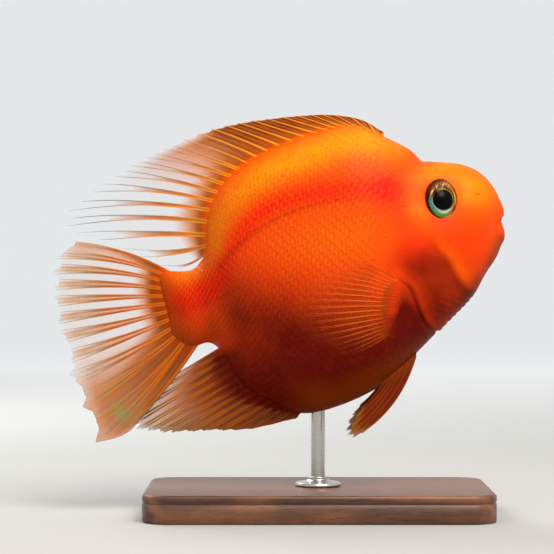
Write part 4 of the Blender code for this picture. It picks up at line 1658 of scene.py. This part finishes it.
def dorsal_fin() -> Fin:
    """The dorsal fin: fifteen spines in a dense membrane, then soft rays that run out into free
    pale strands.

    Returns:
        The fin.
    """
    guides = (
        Ray(0.00, (0.0404, 0.0472), (0.0402, 0.0486)),
        Ray(0.03, (0.0378, 0.0493), (0.0365, 0.0533)),
        Ray(0.07, (0.0345, 0.0516), (0.0305, 0.0576)),
        Ray(0.12, (0.0303, 0.0537), (0.0222, 0.0609)),
        Ray(0.20, (0.0236, 0.0557), (0.0122, 0.0634)),
        Ray(0.38, (0.0046, 0.0553), (-0.0150, 0.0668)),
        Ray(0.55, (-0.0173, 0.0509), (-0.0400, 0.0664), 0.0006),
        Ray(0.68, (-0.0312, 0.0450), (-0.0640, 0.0614), 0.0010),
        Ray(0.78, (-0.0391, 0.0377), (-0.0836, 0.0545), 0.0016),
        Ray(0.86, (-0.0434, 0.0302), (-0.1026, 0.0436), 0.0022),
        Ray(0.91, (-0.0457, 0.0236), (-0.0990, 0.0352), 0.0012),
        Ray(0.96, (-0.0472, 0.0176), (-0.0785, 0.0222), -0.0016),
        Ray(1.00, (-0.0482, 0.0136), (-0.0650, 0.0118), -0.0016),
    )
    paint = FinPaint(
        "tinted_resin_dorsal", flesh="#983E06", membrane="#9E4808", lit="#C87420", fold="#4E1C02",
        ray_root="#E68A1A", ray_tip="#54666E", edge="#D9C6AE", split=0.24, fork=0.35, parted=0.13,
        web=0.78, web_end=(0.35, 0.75), strand=(0.30 * MM, 0.22 * MM), spines=15, folds=2.0,
        buried=0.30,
    )

    def cover(along: Array, out: Array) -> Array:
        """Dense in front, clearing behind the spines from the margin inwards.

        Args:
            along: Place along the fin.
            out: Share of the way out.

        Returns:
            How opaque the membrane is.
        """
        clear = ramp(along, 0.48, 0.82)
        gone = 1 - ramp(along, 0.50, 0.58) * ramp(out, 0.75, 0.98)
        return (0.97 - 0.05 * out - clear * 0.93 * ramp(out, 0.0, 0.55 - 0.30 * clear)) * gone

    def tints(along: Array, out: Array, across: Array) -> tuple:
        """Grey-blue tips behind, the upper strand's sooner, painted shade of folds between the
        spines, and pale spine tips.

        Args:
            along: Place along the fin.
            out: Share of the way out.
            across: Place across the nearest ray, in ray spacings.

        Returns:
            The masks of the ray's tip colour, the folds' painted shade and the edge colour.
        """
        soft, upper = ramp(along, 0.50, 0.72), ramp(-across, 0.0, 0.08)
        tip = soft * np.clip(ramp(out, 0.45, 0.90) + 0.55 * upper * ramp(out, 0.08, 0.5), 0, 1)
        tip = tip * (1 - 0.40 * ramp(along, 0.86, 1.0))
        fold = 0.95 * (0.15 + 0.85 * ramp(out, 0.02, 0.55)) * (1 - 0.8 * ramp(along, 0.55, 0.75))
        return tip, fold, (1 - soft) * ramp(out, 0.91, 0.99) * 0.8

    return Fin(
        "dorsal_fin", 25, guides, paint, root_thickness=0.0020, curl=-0.055, notch=(0.04, 0.08),
        ragged=0.035, seed=3, fillet=0.0020, cover=cover, tints=tints,
        flesh=lambda along, out: 1 - ramp(out, 0.0, 0.09),
        firm=lambda along, out: 1 - 0.8 * ramp(out, 0.75, 1.0) * ramp(along, 0.5, 0.6),
        own=lambda along, out: 0.35 + 0.65 * ramp(out, 0.0, 0.05),
        stout=lambda along: 1 + 1.5 * (1 - ramp(along, 0.5, 0.65)),
    )


def anal_fin() -> Fin:
    """The anal fin: golden bands in front and clear soft rays with olive tips behind.

    Returns:
        The fin.
    """
    guides = (
        Ray(0.00, (-0.0226, -0.0629), (-0.0250, -0.0644)),
        Ray(0.15, (-0.0296, -0.0590), (-0.0455, -0.0649)),
        Ray(0.30, (-0.0356, -0.0545), (-0.0593, -0.0622)),
        Ray(0.45, (-0.0413, -0.0492), (-0.0735, -0.0598)),
        Ray(0.60, (-0.0457, -0.0441), (-0.0863, -0.0569)),
        Ray(0.75, (-0.0482, -0.0372), (-0.0950, -0.0528)),
        Ray(0.87, (-0.0494, -0.0317), (-0.0890, -0.0440)),
        Ray(1.00, (-0.0506, -0.0268), (-0.0740, -0.0345)),
    )
    paint = FinPaint(
        "tinted_resin_anal", flesh="#660E01", membrane="#863C06", lit="#B45E1C", fold="#461202",
        ray_root="#B4560E", ray_tip="#A88026", edge="#B08C3A", split=0.17, fork=0.20, parted=0.11,
        web=0.85, second_split=0.09, second_fork=0.0, strand=(0.30 * MM, 0.22 * MM), spines=4,
        buried=0.05, emerge=(0.30, 0.80),
    )

    def cover(along: Array, out: Array) -> Array:
        """Nearly opaque in front, clearing to the rear margin."""
        return 0.98 - 0.08 * out - ramp(along, 0.30, 0.85) * 0.64 * ramp(out, 0.20, 0.90)

    def tints(along: Array, out: Array, across: Array) -> tuple:
        """Olive tips, painted shade of folds towards the root, and a golden margin.

        Args:
            along: Place along the fin.
            out: Share of the way out.
            across: Place across the nearest ray, in ray spacings; not used.

        Returns:
            The masks of the ray's tip colour, the folds' painted shade and the edge colour.
        """
        tip = ramp(out, 0.35, 0.95) * (0.45 + 0.55 * ramp(along, 0.3, 0.8))
        edge = 0.6 * ramp(out, 0.93, 1.0) * (1 - ramp(along, 0.45, 0.7))
        return tip, 0.9 * (1 - ramp(out, 0.45, 1.0)), edge

    return Fin(
        "anal_fin", 15, guides, paint, root_thickness=0.0022, curl=0.110, notch=(0.05, 0.07),
        ragged=0.03, seed=5, fillet=0.0016, tints=tints,
        cover=cover,
        flesh=lambda along, out: 1 - ramp(out, 0.0, 0.26 + 0.24 * bell(along, 0.60, 0.28)),
    )


def tail_fin() -> Fin:
    """The tail fin: rays that part twice, clear between them, denser in the lower lobe.

    Returns:
        The fin.
    """
    guides = (
        Ray(0.00, (-0.0656, 0.0122), (-0.1054, 0.0338), 0.0026),
        Ray(0.15, (-0.0690, 0.0090), (-0.1136, 0.0253), 0.0018),
        Ray(0.30, (-0.0708, 0.0036), (-0.1170, 0.0144), 0.0008),
        Ray(0.45, (-0.0712, -0.0024), (-0.1193, 0.0024)),
        Ray(0.60, (-0.0704, -0.0086), (-0.1182, -0.0122), -0.0006),
        Ray(0.75, (-0.0682, -0.0145), (-0.1160, -0.0280), -0.0014),
        Ray(0.88, (-0.0655, -0.0192), (-0.1142, -0.0460), -0.0020),
        Ray(0.95, (-0.0625, -0.0218), (-0.1094, -0.0569), -0.0024),
        Ray(1.00, (-0.0590, -0.0235), (-0.0984, -0.0547), -0.0012),
    )
    paint = FinPaint(
        "tinted_resin_tail", flesh="#963A06", membrane="#904608", lit="#C87018", fold="#5A2204",
        ray_root="#CC6410", ray_tip="#B8903A", edge="#6E8E1C", split=0.205, fork=0.12, parted=0.12,
        web=0.80, web_end=(0.55, 0.95), veil=0.42, second_split=0.095, second_fork=-0.5,
        strand=(0.27 * MM, 0.18 * MM), folds=4.0, buried=0.40,
    )

    def cover(along: Array, out: Array) -> Array:
        """Dense at the stalk and in the lower lobe, clear between the strands above.

        Args:
            along: Place along the fin.
            out: Share of the way out.

        Returns:
            How opaque the membrane is.
        """
        low, top = ramp(along, 0.60, 0.88), 1 - ramp(along, 0.0, 0.12)
        gone = 1 - (0.75 - 0.35 * low) * ramp(out, 0.80, 1.0)
        clear = (0.89 - 0.66 * low - 0.45 * top) * ramp(out, 0.04, 0.25 + 0.66 * low + 0.5 * top)
        return (0.95 - clear) * gone

    def tints(along: Array, out: Array, across: Array) -> tuple:
        """Olive tips, brown painted shade of folds, and a green sheen near the tip of the lower
        lobe.
        """
        sheen = 0.70 * bell(along, 0.915, 0.035) * bell(out, 0.73, 0.03)
        return ramp(out, 0.30, 0.90), 0.7 * (1 - ramp(out, 0.5, 1.0)), sheen

    return Fin(
        "tail_fin", 12, guides, paint, root_thickness=0.0026, notch=(0.05, 0.05), ragged=0.07,
        flutter=0.0010, sunk=0.006, seed=9, cover=cover, tints=tints,
        flesh=lambda along, out: 1 - ramp(out, 0.00, 0.14 + 0.20 * ramp(along, 0.6, 1.0)),
        own=lambda along, out: ramp(out, 0.0, 0.13),
        firm=lambda along, out: 1 - 0.9 * ramp(out, 0.78, 1.0),
    )


def pectoral_fin() -> Fin:
    """A pectoral fin: a thin orange fan out of a fleshy lobe, with bright beaded ray roots.

    Returns:
        The fin.
    """
    guides = (
        Ray(0.0, (0.0306, -0.0152), (0.0150, -0.0012), 0.0008),
        Ray(0.2, (0.0294, -0.0188), (-0.0042, -0.0026), 0.0010),
        Ray(0.4, (0.0280, -0.0234), (-0.0155, -0.0108), 0.0008),
        Ray(0.6, (0.0264, -0.0282), (-0.0187, -0.0226)),
        Ray(0.8, (0.0244, -0.0330), (-0.0116, -0.0346), -0.0006),
        Ray(1.0, (0.0222, -0.0370), (0.0024, -0.0423), -0.0010),
    )
    paint = FinPaint(
        "tinted_resin_pectoral", flesh="#963604", membrane="#C83C05", lit="#D8500E", fold="#701202",
        ray_root="#DC6A22", ray_tip="#E0602A", edge="#E06A14", split=0.16, fork=0.15,
        strand=(0.17 * MM, 0.13 * MM), folds=2.0, buried=0.0, emerge=(0.15, 0.60),
    )

    def lobe(along: Array) -> Array:
        """How far the fleshy lobe reaches along each ray."""
        return 0.05 + 0.11 * np.sin(math.pi * np.clip(along, 0, 1)) ** 0.7

    def cover(along: Array, out: Array) -> Array:
        """Thin all over, least at the margin."""
        thin = 0.28 - 0.23 * ramp(out, 0.05, 0.8)
        return thin * (1 - 0.8 * along) * (1 - ramp(out, 0.80, 1.0))

    def tints(along: Array, out: Array, across: Array) -> tuple:
        """Duller towards the tips, with the first of the rays in bright orange.

        Args:
            along: Place along the fin.
            out: Share of the way out.
            across: Place across the nearest ray, in ray spacings; not used.

        Returns:
            The masks of the ray's tip colour, the folds' painted shade and the edge colour.
        """
        first = (1 - ramp(along, 0.0, 0.05)) * (1 - ramp(out, 0.0, 0.5))
        bright = 0.5 * bell(out, lobe(along) + 0.03, 0.035) + 0.8 * first
        return ramp(out, 0.2, 1.0), 0.25 * (1 - ramp(out, 0.2, 0.8)), bright

    def firm(along: Array, out: Array) -> Array:
        """Fading towards the tips and from the first ray to the last."""
        return (0.95 - 0.90 * ramp(out, 0.30, 0.95)) * (1 - 0.70 * ramp(along, 0.45, 1.0))

    return Fin(
        "pectoral_fin", 19, guides, paint, root_thickness=0.0018, paired=True, spread=0.22,
        curl=-0.05, notch=(0.04, 0.06), ragged=0.07, flutter=0.0004, seed=11, cover=cover,
        firm=firm, tints=tints,
        # Near the root, and more so towards the last rays, the flesh keeps the body's dark under
        # the fin, a painted shadow.
        own=lambda along, out: ramp(out, 0.01, 0.13) * (1 - 0.4 * ramp(along, 0.1, 0.9)),
        flesh=lambda along, out: 1 - ramp(out, lobe(along) * 0.3, lobe(along) * 1.35),
    )


def pelvic_fin() -> Fin:
    """A pelvic fin: a fleshy spined blade with a pale leading edge and an olive tip.

    Returns:
        The fin.
    """
    guides = (
        Ray(0.00, (0.0330, -0.0478), (0.0004, -0.0768), -0.0046),
        Ray(0.30, (0.0290, -0.0500), (-0.0054, -0.0774), -0.0030),
        Ray(0.65, (0.0235, -0.0530), (-0.0024, -0.0716), -0.0020),
        Ray(1.00, (0.0165, -0.0565), (0.0036, -0.0658), -0.0008),
    )
    paint = FinPaint(
        "tinted_resin_pelvic", flesh="#662402", membrane="#681E02", lit="#A86020", fold="#460E01",
        ray_root="#7E2C04", ray_tip="#967410", edge="#B8966C", split=0.16, fork=0.15,
        strand=(0.40 * MM, 0.22 * MM), spines=1,
    )

    def tints(along: Array, out: Array, across: Array) -> tuple:
        """An olive tip, painted shade of folds and a pale rim in front."""
        fold = 0.5 * ramp(out, 0.1, 0.4) * (1 - ramp(out, 0.75, 0.9))
        return ramp(out, 0.72, 0.95), fold, 0.6 * (1 - ramp(along, 0.0, 0.03))

    return Fin(
        "pelvic_fin", 6, guides, paint, root_thickness=0.0030, paired=True, spread=0.14, curl=0.04,
        notch=(0.05, 0.10), ragged=0.03, flutter=0.0003, seed=13, tints=tints,
        cover=lambda along, out: 1.0 - 0.35 * ramp(out, 0.75, 1.0),
        flesh=lambda along, out: 1 - ramp(out, 0.0, 0.35),
    )


# ---------------------------------------------------------------- the eyes


@dataclass(frozen=True)
class EyePaint:
    """A glass taxidermy eye, painted from behind: metallic tints that change round the iris, a
    black pupil, and a polished face that gives a sharp highlight."""

    amber: str = "#82480C"
    # The flesh colour's bar up and back of the pupil is a painted highlight.
    flesh: str = "#FAB878"
    teal: str = "#149094"
    green: str = "#16A044"
    pale: str = "#B4E0C0"
    gold: str = "#B4A432"
    brown: str = "#120603"
    rim: str = "#3A1002"
    pupil: str = "#010102"
    fleck: float = 0.6 * MM
    shades: tuple = (0.45, 1.35)  # how the flecks darken and lighten the tints

    def make(self) -> Material:
        """Makes the finish. "iris" holds the masks of teal, green, gold and brown, and "rings"
        those of the pale ring, the flesh bars, whose bar up and back of the pupil is a painted
        highlight, the outer rim and the pupil.

        Returns:
            The material.
        """
        material, tree = new_material("painted_glass_eye")
        iris = add(tree, "VertexColor", layer_name="iris")
        rings = add(tree, "VertexColor", layer_name="rings")
        teal, green, gold = add(tree, "SeparateColor", iris).outputs
        pale, flesh, rim = add(tree, "SeparateColor", rings).outputs
        place = add(tree, "TexCoord").outputs["Object"]
        sockets = {"Vector": place, "Scale": 1 / self.fleck, "Detail": 3.0, "Roughness": 0.7}
        fleck = add(tree, "TexNoise", sockets=sockets)
        colour = lay_colours(
            tree, self.amber, (flesh, self.flesh), (teal, self.teal), (green, self.green),
            (gold, self.gold), (iris.outputs["Alpha"], self.brown), (pale, self.pale),
        )
        shade = add(tree, "MapRange", fleck, 0.32, 0.68, *self.shades)
        toned = add(tree, "VectorMath", colour, shade, operation="MULTIPLY")
        coats = ((rim, self.rim), (rings.outputs["Alpha"], self.pupil))
        shader = add(tree, "BsdfPrincipled", sockets={
            "Base Color": lay_colours(tree, toned, *coats),
            "Roughness": 0.30,
            "IOR": 1.50,
            "Specular IOR Level": 0.05,
            "Coat Weight": 0.03,
            "Coat Roughness": 0.04,
        })
        add(tree, "OutputMaterial", shader)
        return material


@dataclass
class Eye:
    """One eye: a flattened globe whose iris is a shallow dish round a domed pupil."""

    side: Side
    around: int = 240
    rings: int = 150
    pupil_length: float = 4.55 * MM
    pupil_height: float = 4.45 * MM
    pupil_back: float = 1.32 * MM  # how far the pupil sits behind the eye's axis
    pupil_down: float = 0.70 * MM  # and below it
    dome: float = 0.45 * MM
    dish: float = 0.30 * MM

    def build(self) -> None:
        """Makes the globe.

        At the angle polar from the eye's axis it is an ellipsoid, leaned forward. Its face is
        raised by a dome (1-e²)^1.5 over the pupil, e being the oval distance from the pupil's
        middle, and sunk by a bell round it.
        """
        seat = EYE_SEAT
        polar = np.linspace(0, math.pi, self.rings + 2)[1:-1, None]
        turn = np.linspace(0, 2 * math.pi, self.around, endpoint=False)[None, :]
        wide = seat.length * np.sin(polar) * np.cos(turn)
        high = seat.height * np.sin(polar) * np.sin(turn)
        x = wide * math.cos(seat.lean) + high * math.sin(seat.lean)
        z = high * math.cos(seat.lean) - wide * math.sin(seat.lean)
        shell = np.stack((x, seat.depth * np.cos(polar) + 0 * turn, z), axis=-1)
        globe, faces = close_rings(shell, (0, seat.depth, 0), (0, -seat.depth, 0))
        x, y, z = globe.T
        dx, dz = x + self.pupil_back, z + self.pupil_down
        oval = np.hypot(dx / self.pupil_length, dz / self.pupil_height)
        face = ramp(y, 0.0, 0.35 * seat.depth)
        lift = self.dome * np.clip(1 - oval**2, 0, 1) ** 1.5 - self.dish * bell(oval, 1.45, 0.45)
        local = np.stack((x, self.side.value * (y + lift * face), z), axis=-1)
        points = local @ seat.turn(self.side).T + seat.middle(self.side)
        name = f"eye_{self.side.name.lower()}"
        finish = EyePaint().make()
        piece = make_piece(f"{name}_glass", POSE.place(points), faces, (name,), finish)
        self.paint(piece, points[:, 0] / MM, points[:, 2] / MM, oval, face)

    def paint(self, piece: Object, x: Array, z: Array, oval: Array, face: Array) -> None:
        """Works out the iris's masks from the angle round the pupil, 0 being forward and 90 up,
        and from the share of the way from the pupil's edge to the rim.

        Args:
            piece: The eye.
            x: Forward places in the fish frame, in millimetres.
            z: Upward places.
            oval: Distance from the pupil's middle, 1 at its edge.
            face: 1 on the face and 0 behind it.
        """
        middle = np.argmin(oval + 9 * (1 - face))
        bearing = np.arctan2(z - z[middle], x - x[middle])
        outer = np.maximum(EYE_SEAT.lids(x, z), 0.05)
        way = (oval - 1) / np.maximum(oval / outer * 0.95 - 1, 0.05)

        def arc(at: float, spread: float) -> Array:
            """A bell round the iris at an angle in degrees."""
            return bell((np.degrees(bearing) - at + 180) % 360 - 180, 0.0, spread)

        def patches(*rows: tuple) -> Array:
            """The sum of soft patches, each a strength, an angle and its spread, and a share of
            the way out and its spread."""
            return sum(
                strength * arc(at, spread) * bell(way, out, width)
                for strength, at, spread, out, width in rows
            )

        strokes = np.clip(np.sin(bearing * 13 + way * 5), 0, 1) ** 2
        flecks = np.clip(np.sin(bearing * 31 - way * 9) * np.sin(way * 14 + bearing * 4), 0, 1)
        teal = patches((1.0, 187, 30, 0.56, 0.34), (0.7, 222, 18, 0.35, 0.15))
        green = patches((1.0, 236, 24, 0.62, 0.22), (0.5, 272, 18, 0.68, 0.14))
        gold = patches(
            (1.0, 352, 34, 0.48, 0.11), (0.9, 272, 24, 0.86, 0.07), (0.8, 88, 26, 0.08, 0.06)
        )
        brown = patches(
            (1.0, 306, 12, 0.66, 0.18), (0.9, 0, 46, 0.24, 0.09), (0.9, 0, 46, 0.74, 0.09),
            (0.5, 60, 24, 0.18, 0.14), (0.55, 105, 52, 0.88, 0.14),
        )
        brown += arc(156, 16) * ramp(way, 0.68, 0.88) + 0.9 * arc(187, 28) * ramp(way, 0.91, 0.97)
        brown += 0.85 * arc(130, 26) * (1 - ramp(way, 0.25, 0.42))
        brown += (1 - strokes) * patches((0.5, 98, 36, 0.32, 0.20))
        brown += flecks * patches((1.1, 92, 55, 0.55, 0.35))
        pale = patches(
            (1.0, 262, 34, 0.26, 0.18), (0.9, 205, 34, 0.09, 0.06), (0.25, 0, 30, 0.05, 0.04)
        )
        # The flesh bar at 136 degrees, up and back of the pupil, is a painted highlight.
        flesh = patches((1.0, 136, 12, 0.52, 0.13), (0.35, 64, 16, 0.60, 0.18))
        flesh += strokes * patches((0.8, 95, 24, 0.45, 0.22))
        teal, green, gold, brown, pale, flesh = (
            np.clip(mask, 0, 1) * face for mask in (teal, green, gold, brown, pale, flesh)
        )
        rim, pupil = 0.9 * ramp(way, 0.88, 1.0), (1 - ramp(oval, 0.98, 1.03)) * face
        paint_points(piece, "iris", teal, green, gold, brown)
        paint_points(piece, "rings", pale, flesh, rim, pupil)


# ---------------------------------------------------------------- the stand


@dataclass(frozen=True)
class WalnutPaint:
    """Oiled black walnut, sawn flat: long brown grain lines with fine dark pores, and a low
    sheen on the sanded faces."""

    light: str = "#7A4A2A"
    dark: str = "#482817"
    pore: str = "#1E0E07"
    ring: float = 3.2 * MM  # width of a grain line
    drift: tuple = (9.0, 70.0, 70.0)  # how fine the drift of the lines is, along and across
    sway: tuple = (0.0, 0.016, 0.016)  # how far it moves them
    pores: tuple = (160.0, 2200.0, 2200.0)  # how fine the pores are
    sheen: tuple = (0.46, 0.36)  # the roughness of the light wood and of the lines

    def make(self) -> Material:
        """Makes the finish: noise drawn out along the board bends a set of lines.

        Returns:
            The material.
        """
        material, tree = new_material("oiled_walnut")
        place = add(tree, "TexCoord").outputs["Object"]
        slow = add(tree, "Mapping", sockets={"Vector": place, "Scale": self.drift})
        sockets = {"Vector": slow, "Scale": 1.0, "Detail": 5.0}
        drift = add(tree, "TexNoise", sockets=sockets).outputs["Color"]
        shift = add(tree, "VectorMath", drift, self.sway, operation="MULTIPLY")
        bent = add(tree, "VectorMath", place, shift, operation="ADD")
        # The wave repeats every 2 pi / 20 over its scale, here about every two grain lines.
        sockets = {"Vector": bent, "Scale": 1 / (self.ring * 6.3), "Distortion": 1.5, "Detail": 3.0}
        lines = add(tree, "TexWave", sockets=sockets, bands_direction="Y").outputs["Fac"]
        fine = add(tree, "Mapping", sockets={"Vector": place, "Scale": self.pores})
        sockets = {"Vector": fine, "Scale": 1.0, "Detail": 2.0}
        pores = add(tree, "TexNoise", sockets=sockets)
        pore = add(tree, "MapRange", pores, 0.60, 0.72, 0.0, 0.85)
        bumps = {"Height": pores, "Strength": 0.2, "Distance": 0.08 * MM}
        shader = add(tree, "BsdfPrincipled", sockets={
            "Base Color": lay_colours(tree, self.light, (lines, self.dark), (pore, self.pore)),
            "Normal": add(tree, "Bump", sockets=bumps, invert=True),
            "Roughness": add(tree, "MapRange", lines, 0.0, 1.0, *self.sheen),
        })
        add(tree, "OutputMaterial", shader)
        return material


@dataclass(frozen=True)
class SteelPaint:
    """Stainless steel, turned and brushed: bright metal with fine rings round it that spread its
    highlights."""

    colour: str = "#B9B7B2"
    line: float = 0.18 * MM
    around: float = 90.0  # how slowly a ring changes round the axis
    polish: tuple = (0.20, 0.36)  # the least and the most roughness

    def make(self, name: str) -> Material:
        """Makes the finish, with noise drawn out round the axis so that it shows as rings.

        Args:
            name: The material's name.

        Returns:
            The material.
        """
        material, tree = new_material(name)
        place = add(tree, "TexCoord").outputs["Object"]
        scale = (self.around, self.around, 1 / self.line)
        flat = add(tree, "Mapping", sockets={"Vector": place, "Scale": scale})
        sockets = {"Vector": flat, "Scale": 1.0, "Detail": 2.0}
        rings = add(tree, "TexNoise", sockets=sockets)
        bumps = {"Height": rings, "Strength": 0.15, "Distance": 0.02 * MM}
        shader = add(tree, "BsdfPrincipled", sockets={
            "Base Color": self.colour,
            "Metallic": 1.0,
            "Normal": add(tree, "Bump", sockets=bumps),
            "Roughness": add(tree, "MapRange", rings, 0.3, 0.7, *self.polish),
        })
        add(tree, "OutputMaterial", shader)
        return material


@dataclass
class Stand:
    """The flat walnut base, the steel rod up to the belly, and the collar round its foot."""

    length: float = 0.150
    width: float = 0.084
    thickness: float = 0.012
    corner: float = 0.012
    corner_steps: int = 20
    ease: float = 0.0015
    groove: float = 0.0005
    foot_insets: tuple = (0.2, 0.6, 0.97)  # the rings across the underside, as shares of the edge
    lid_insets: tuple = (0.97, 0.80, 0.5, 0.2)  # and across the top
    gap: float = 0.0003
    rod_radius: float = 0.003
    rod_bottom: float = 0.004
    rod_top: float = 0.064
    bevel: float = 0.0003
    collar_radius: float = 0.010
    collar_height: float = 0.004
    collar_neck: float = 0.0045
    collar_step: float = 0.0006
    collar_ease: float = 0.0002
    turned_sides: int = 64

    def base(self) -> None:
        """Makes the base: a round-cornered outline carried up an edge profile.

        The outline is a rectangle shrunk by the corner's radius with that radius added along
        each direction. The profile eases the top edge with a quarter circle, cuts a fine groove
        under it, and runs in to the middle above and below.
        """
        steps, top = self.corner_steps, self.thickness
        quarter = np.linspace(0, math.pi / 2, steps)
        turn = np.concatenate([quarter + k * math.pi / 2 for k in range(4)])
        signs = np.repeat([(1, 1), (-1, 1), (-1, -1), (1, -1)], steps, axis=0)
        core = signs * (self.length / 2 - self.corner, self.width / 2 - self.corner)
        heading = np.stack((np.cos(turn), np.sin(turn)), axis=-1)

        edge = [(0.0006, 0.0), (0.0, 0.0006), (0.0, top - 0.0042), (self.groove, top - 0.0038)]
        edge += [(self.groove, top - 0.0036), (0.0, top - 0.0032), (0.0, top - self.ease - 0.0002)]
        arc = np.linspace(0, math.pi / 2, 8)
        rounded = (self.ease * (1 - np.cos(arc)), top - self.ease * (1 - np.sin(arc)))
        inset, height = np.concatenate([edge, np.stack(rounded, axis=1)]).T
        shell = core + heading * (self.corner - inset)[:, None, None]
        foot = shell[0] * np.array(self.foot_insets)[:, None, None]
        lid = shell[-1] * np.array(self.lid_insets)[:, None, None]
        plan = np.concatenate([foot, shell, lid])
        level = np.concatenate([np.zeros(len(foot)), height, np.full(len(lid), top)])[:, None, None]
        rings = np.concatenate([plan, level + 0 * plan[..., :1]], axis=-1)
        points, faces = close_rings(rings, (0, 0, 0), (0, 0, top))
        finish = WalnutPaint().make()
        make_piece("walnut_base", points, faces, ("stand_base",), finish)

    def turned(self, part: str, profile: list, solid: bool) -> None:
        """Spins a profile round the upright axis.

        Args:
            part: What it is.
            profile: Pairs of radius and height, from the foot up the outside.
            solid: Whether it closes on the axis; if not, the profile closes on itself.
        """
        rings = spin(*np.array(profile).T, self.turned_sides)
        if solid:
            points, faces = close_rings(rings, (0, 0, profile[0][1]), (0, 0, profile[-1][1]))
        else:
            points = rings.reshape(-1, 3)
            faces = [grid_faces(len(rings) + 1, self.turned_sides, wrap=True) % len(points)]
        finish = SteelPaint().make(f"brushed_stainless_{part}")
        make_piece(f"steel_{part}", points, faces, (f"stand_{part}",), finish)

    def build(self) -> None:
        """Makes the base, the rod and the collar."""
        self.base()
        r, bevel, low, top = self.rod_radius, self.bevel, self.rod_bottom, self.rod_top
        rod = [(0.0005, low), (r - bevel, low), (r, low + bevel)]
        rod += [(r, z) for z in np.linspace(0.006, 0.062, 12)]
        rod += [(r, top - bevel), (r - bevel, top), (0.0005, top)]
        self.turned("rod", rod, solid=True)

        hole, foot, ease = r + self.gap, self.thickness + self.gap, self.collar_ease
        rim, neck, top = self.collar_radius, self.collar_neck, foot + self.collar_height
        cone = rim - self.collar_step
        collar = [(hole, foot), (rim - ease, foot), (rim, foot + ease), (rim, foot + 0.0010)]
        collar += [(cone, foot + 0.0013), (cone, foot + 0.0015)]
        for a in np.linspace(0, math.pi / 2, 9):
            rise = 0.0015 + 0.0017 * (1 - math.cos(a))
            collar += [(cone - 0.0050 * math.sin(a), foot + rise)]
        collar += [(neck, foot + 0.0034), (neck, top - ease), (neck - ease, top), (hole, top)]
        self.turned("collar", collar, solid=False)


# ---------------------------------------------------------------- the studio


@dataclass(frozen=True)
class Studio:
    """A plain pale floor that sweeps up far off all round, soft lamps, and the camera level with
    the fish."""

    camera_at: tuple = (-0.0179, -0.9, 0.1034)
    lens: float = 133.7
    sensor: float = 36.0
    surround: str = "#DFE2E6"
    surround_strength: float = 1.15
    near: str = "#A8A8A5"
    far: str = "#F6F6F4"
    flat: float = 2.6  # radius of the flat part of the floor
    rise: float = 1.9  # height of the sweep
    below: float = 0.0001  # how far the floor lies under the base
    sides: int = 128
    paling: tuple = (0.25, 1.5)  # the distances between which the paper gets lighter
    aim: tuple = (0.0, 0.0, 0.11)

    def paper(self) -> Material:
        """Makes the floor's finish: matt paper, lighter far off, where less light falls on it.

        Returns:
            The material.
        """
        material, tree = new_material("matt_paper_floor")
        place = add(tree, "TexCoord").outputs["Object"]
        away = add(tree, "VectorMath", place, operation="LENGTH").outputs["Value"]
        share = add(tree, "MapRange", away, *self.paling, interpolation_type="SMOOTHSTEP")
        shader = add(tree, "BsdfPrincipled", sockets={
            "Base Color": lay_colours(tree, self.near, (share, self.far)),
            "Roughness": 0.85,
            "Specular IOR Level": 0.1,
        })
        add(tree, "OutputMaterial", shader)
        return material

    def floor(self) -> None:
        """Lays the floor: a flat disc out to its radius, then a quarter circle up to its rim."""
        arc = np.linspace(0, math.pi / 2, 24)
        radius = np.concatenate([[0.5, 1.5], self.flat + self.rise * np.sin(arc)])
        height = np.concatenate([[0.0, 0.0], self.rise * (1 - np.cos(arc))]) - self.below
        rings = spin(radius, height, self.sides)
        points = np.concatenate([rings.reshape(-1, 3), [(0.0, 0.0, -self.below)]])
        faces = grid_faces(*rings.shape[:2], wrap=True).tolist()
        faces += fan_faces(len(points) - 1, np.arange(rings.shape[1]), turned=False).tolist()
        make_object("floor", points, faces, self.paper())

    def lamp(self, name: str, at: tuple, size: float, power: float, colour: str) -> None:
        """Hangs a square soft lamp that faces the fish.

        Args:
            name: The lamp's name.
            at: Where it hangs.
            size: Side of the square.
            power: Watts.
            colour: Its hex colour.
        """
        light = bpy.data.lights.new(name, "AREA")
        light.size, light.energy, light.color = size, power, linear(colour)[:3]
        lamp = put(name, light)
        x, y, z = np.subtract(at, self.aim)
        lamp.location = at
        lamp.rotation_euler = (math.atan2(math.hypot(x, y), z), 0, math.atan2(x, -y))

    def build(self) -> None:
        """Sets the camera, the floor, the surround and the lamps."""
        scene = bpy.context.scene
        data = bpy.data.cameras.new("camera")
        data.lens, data.sensor_width, data.clip_end = self.lens, self.sensor, 100.0
        scene.camera = put("camera", data)
        scene.camera.location = self.camera_at
        scene.camera.rotation_euler = (math.pi / 2, 0, 0)
        scene.view_settings.view_transform = "Standard"
        self.floor()
        scene.world = bpy.data.worlds.new("surround")
        scene.world.use_nodes = True
        tree = scene.world.node_tree
        tree.nodes.clear()
        add(tree, "OutputWorld", add(tree, "Background", self.surround, self.surround_strength))
        self.lamp("key", (0.25, -0.45, 0.75), 0.45, 9.0, "#FFF6EA")
        self.lamp("rim", (-0.45, 0.50, 0.60), 0.40, 5.0, "#FFFFFF")


def main() -> None:
    """Builds the studio, the fish and the stand."""
    Studio().build()
    Skin().build()
    for side in Side:
        ScaleCoat(side).build()
        Eye(side).build()
        for fin in (pectoral_fin(), pelvic_fin()):
            fin.build(side)
    for fin in (dorsal_fin(), anal_fin(), tail_fin()):
        fin.build()
    Stand().build()


if __name__ == "__main__":
    logging.basicConfig(level=logging.INFO, format="%(message)s")
    main()
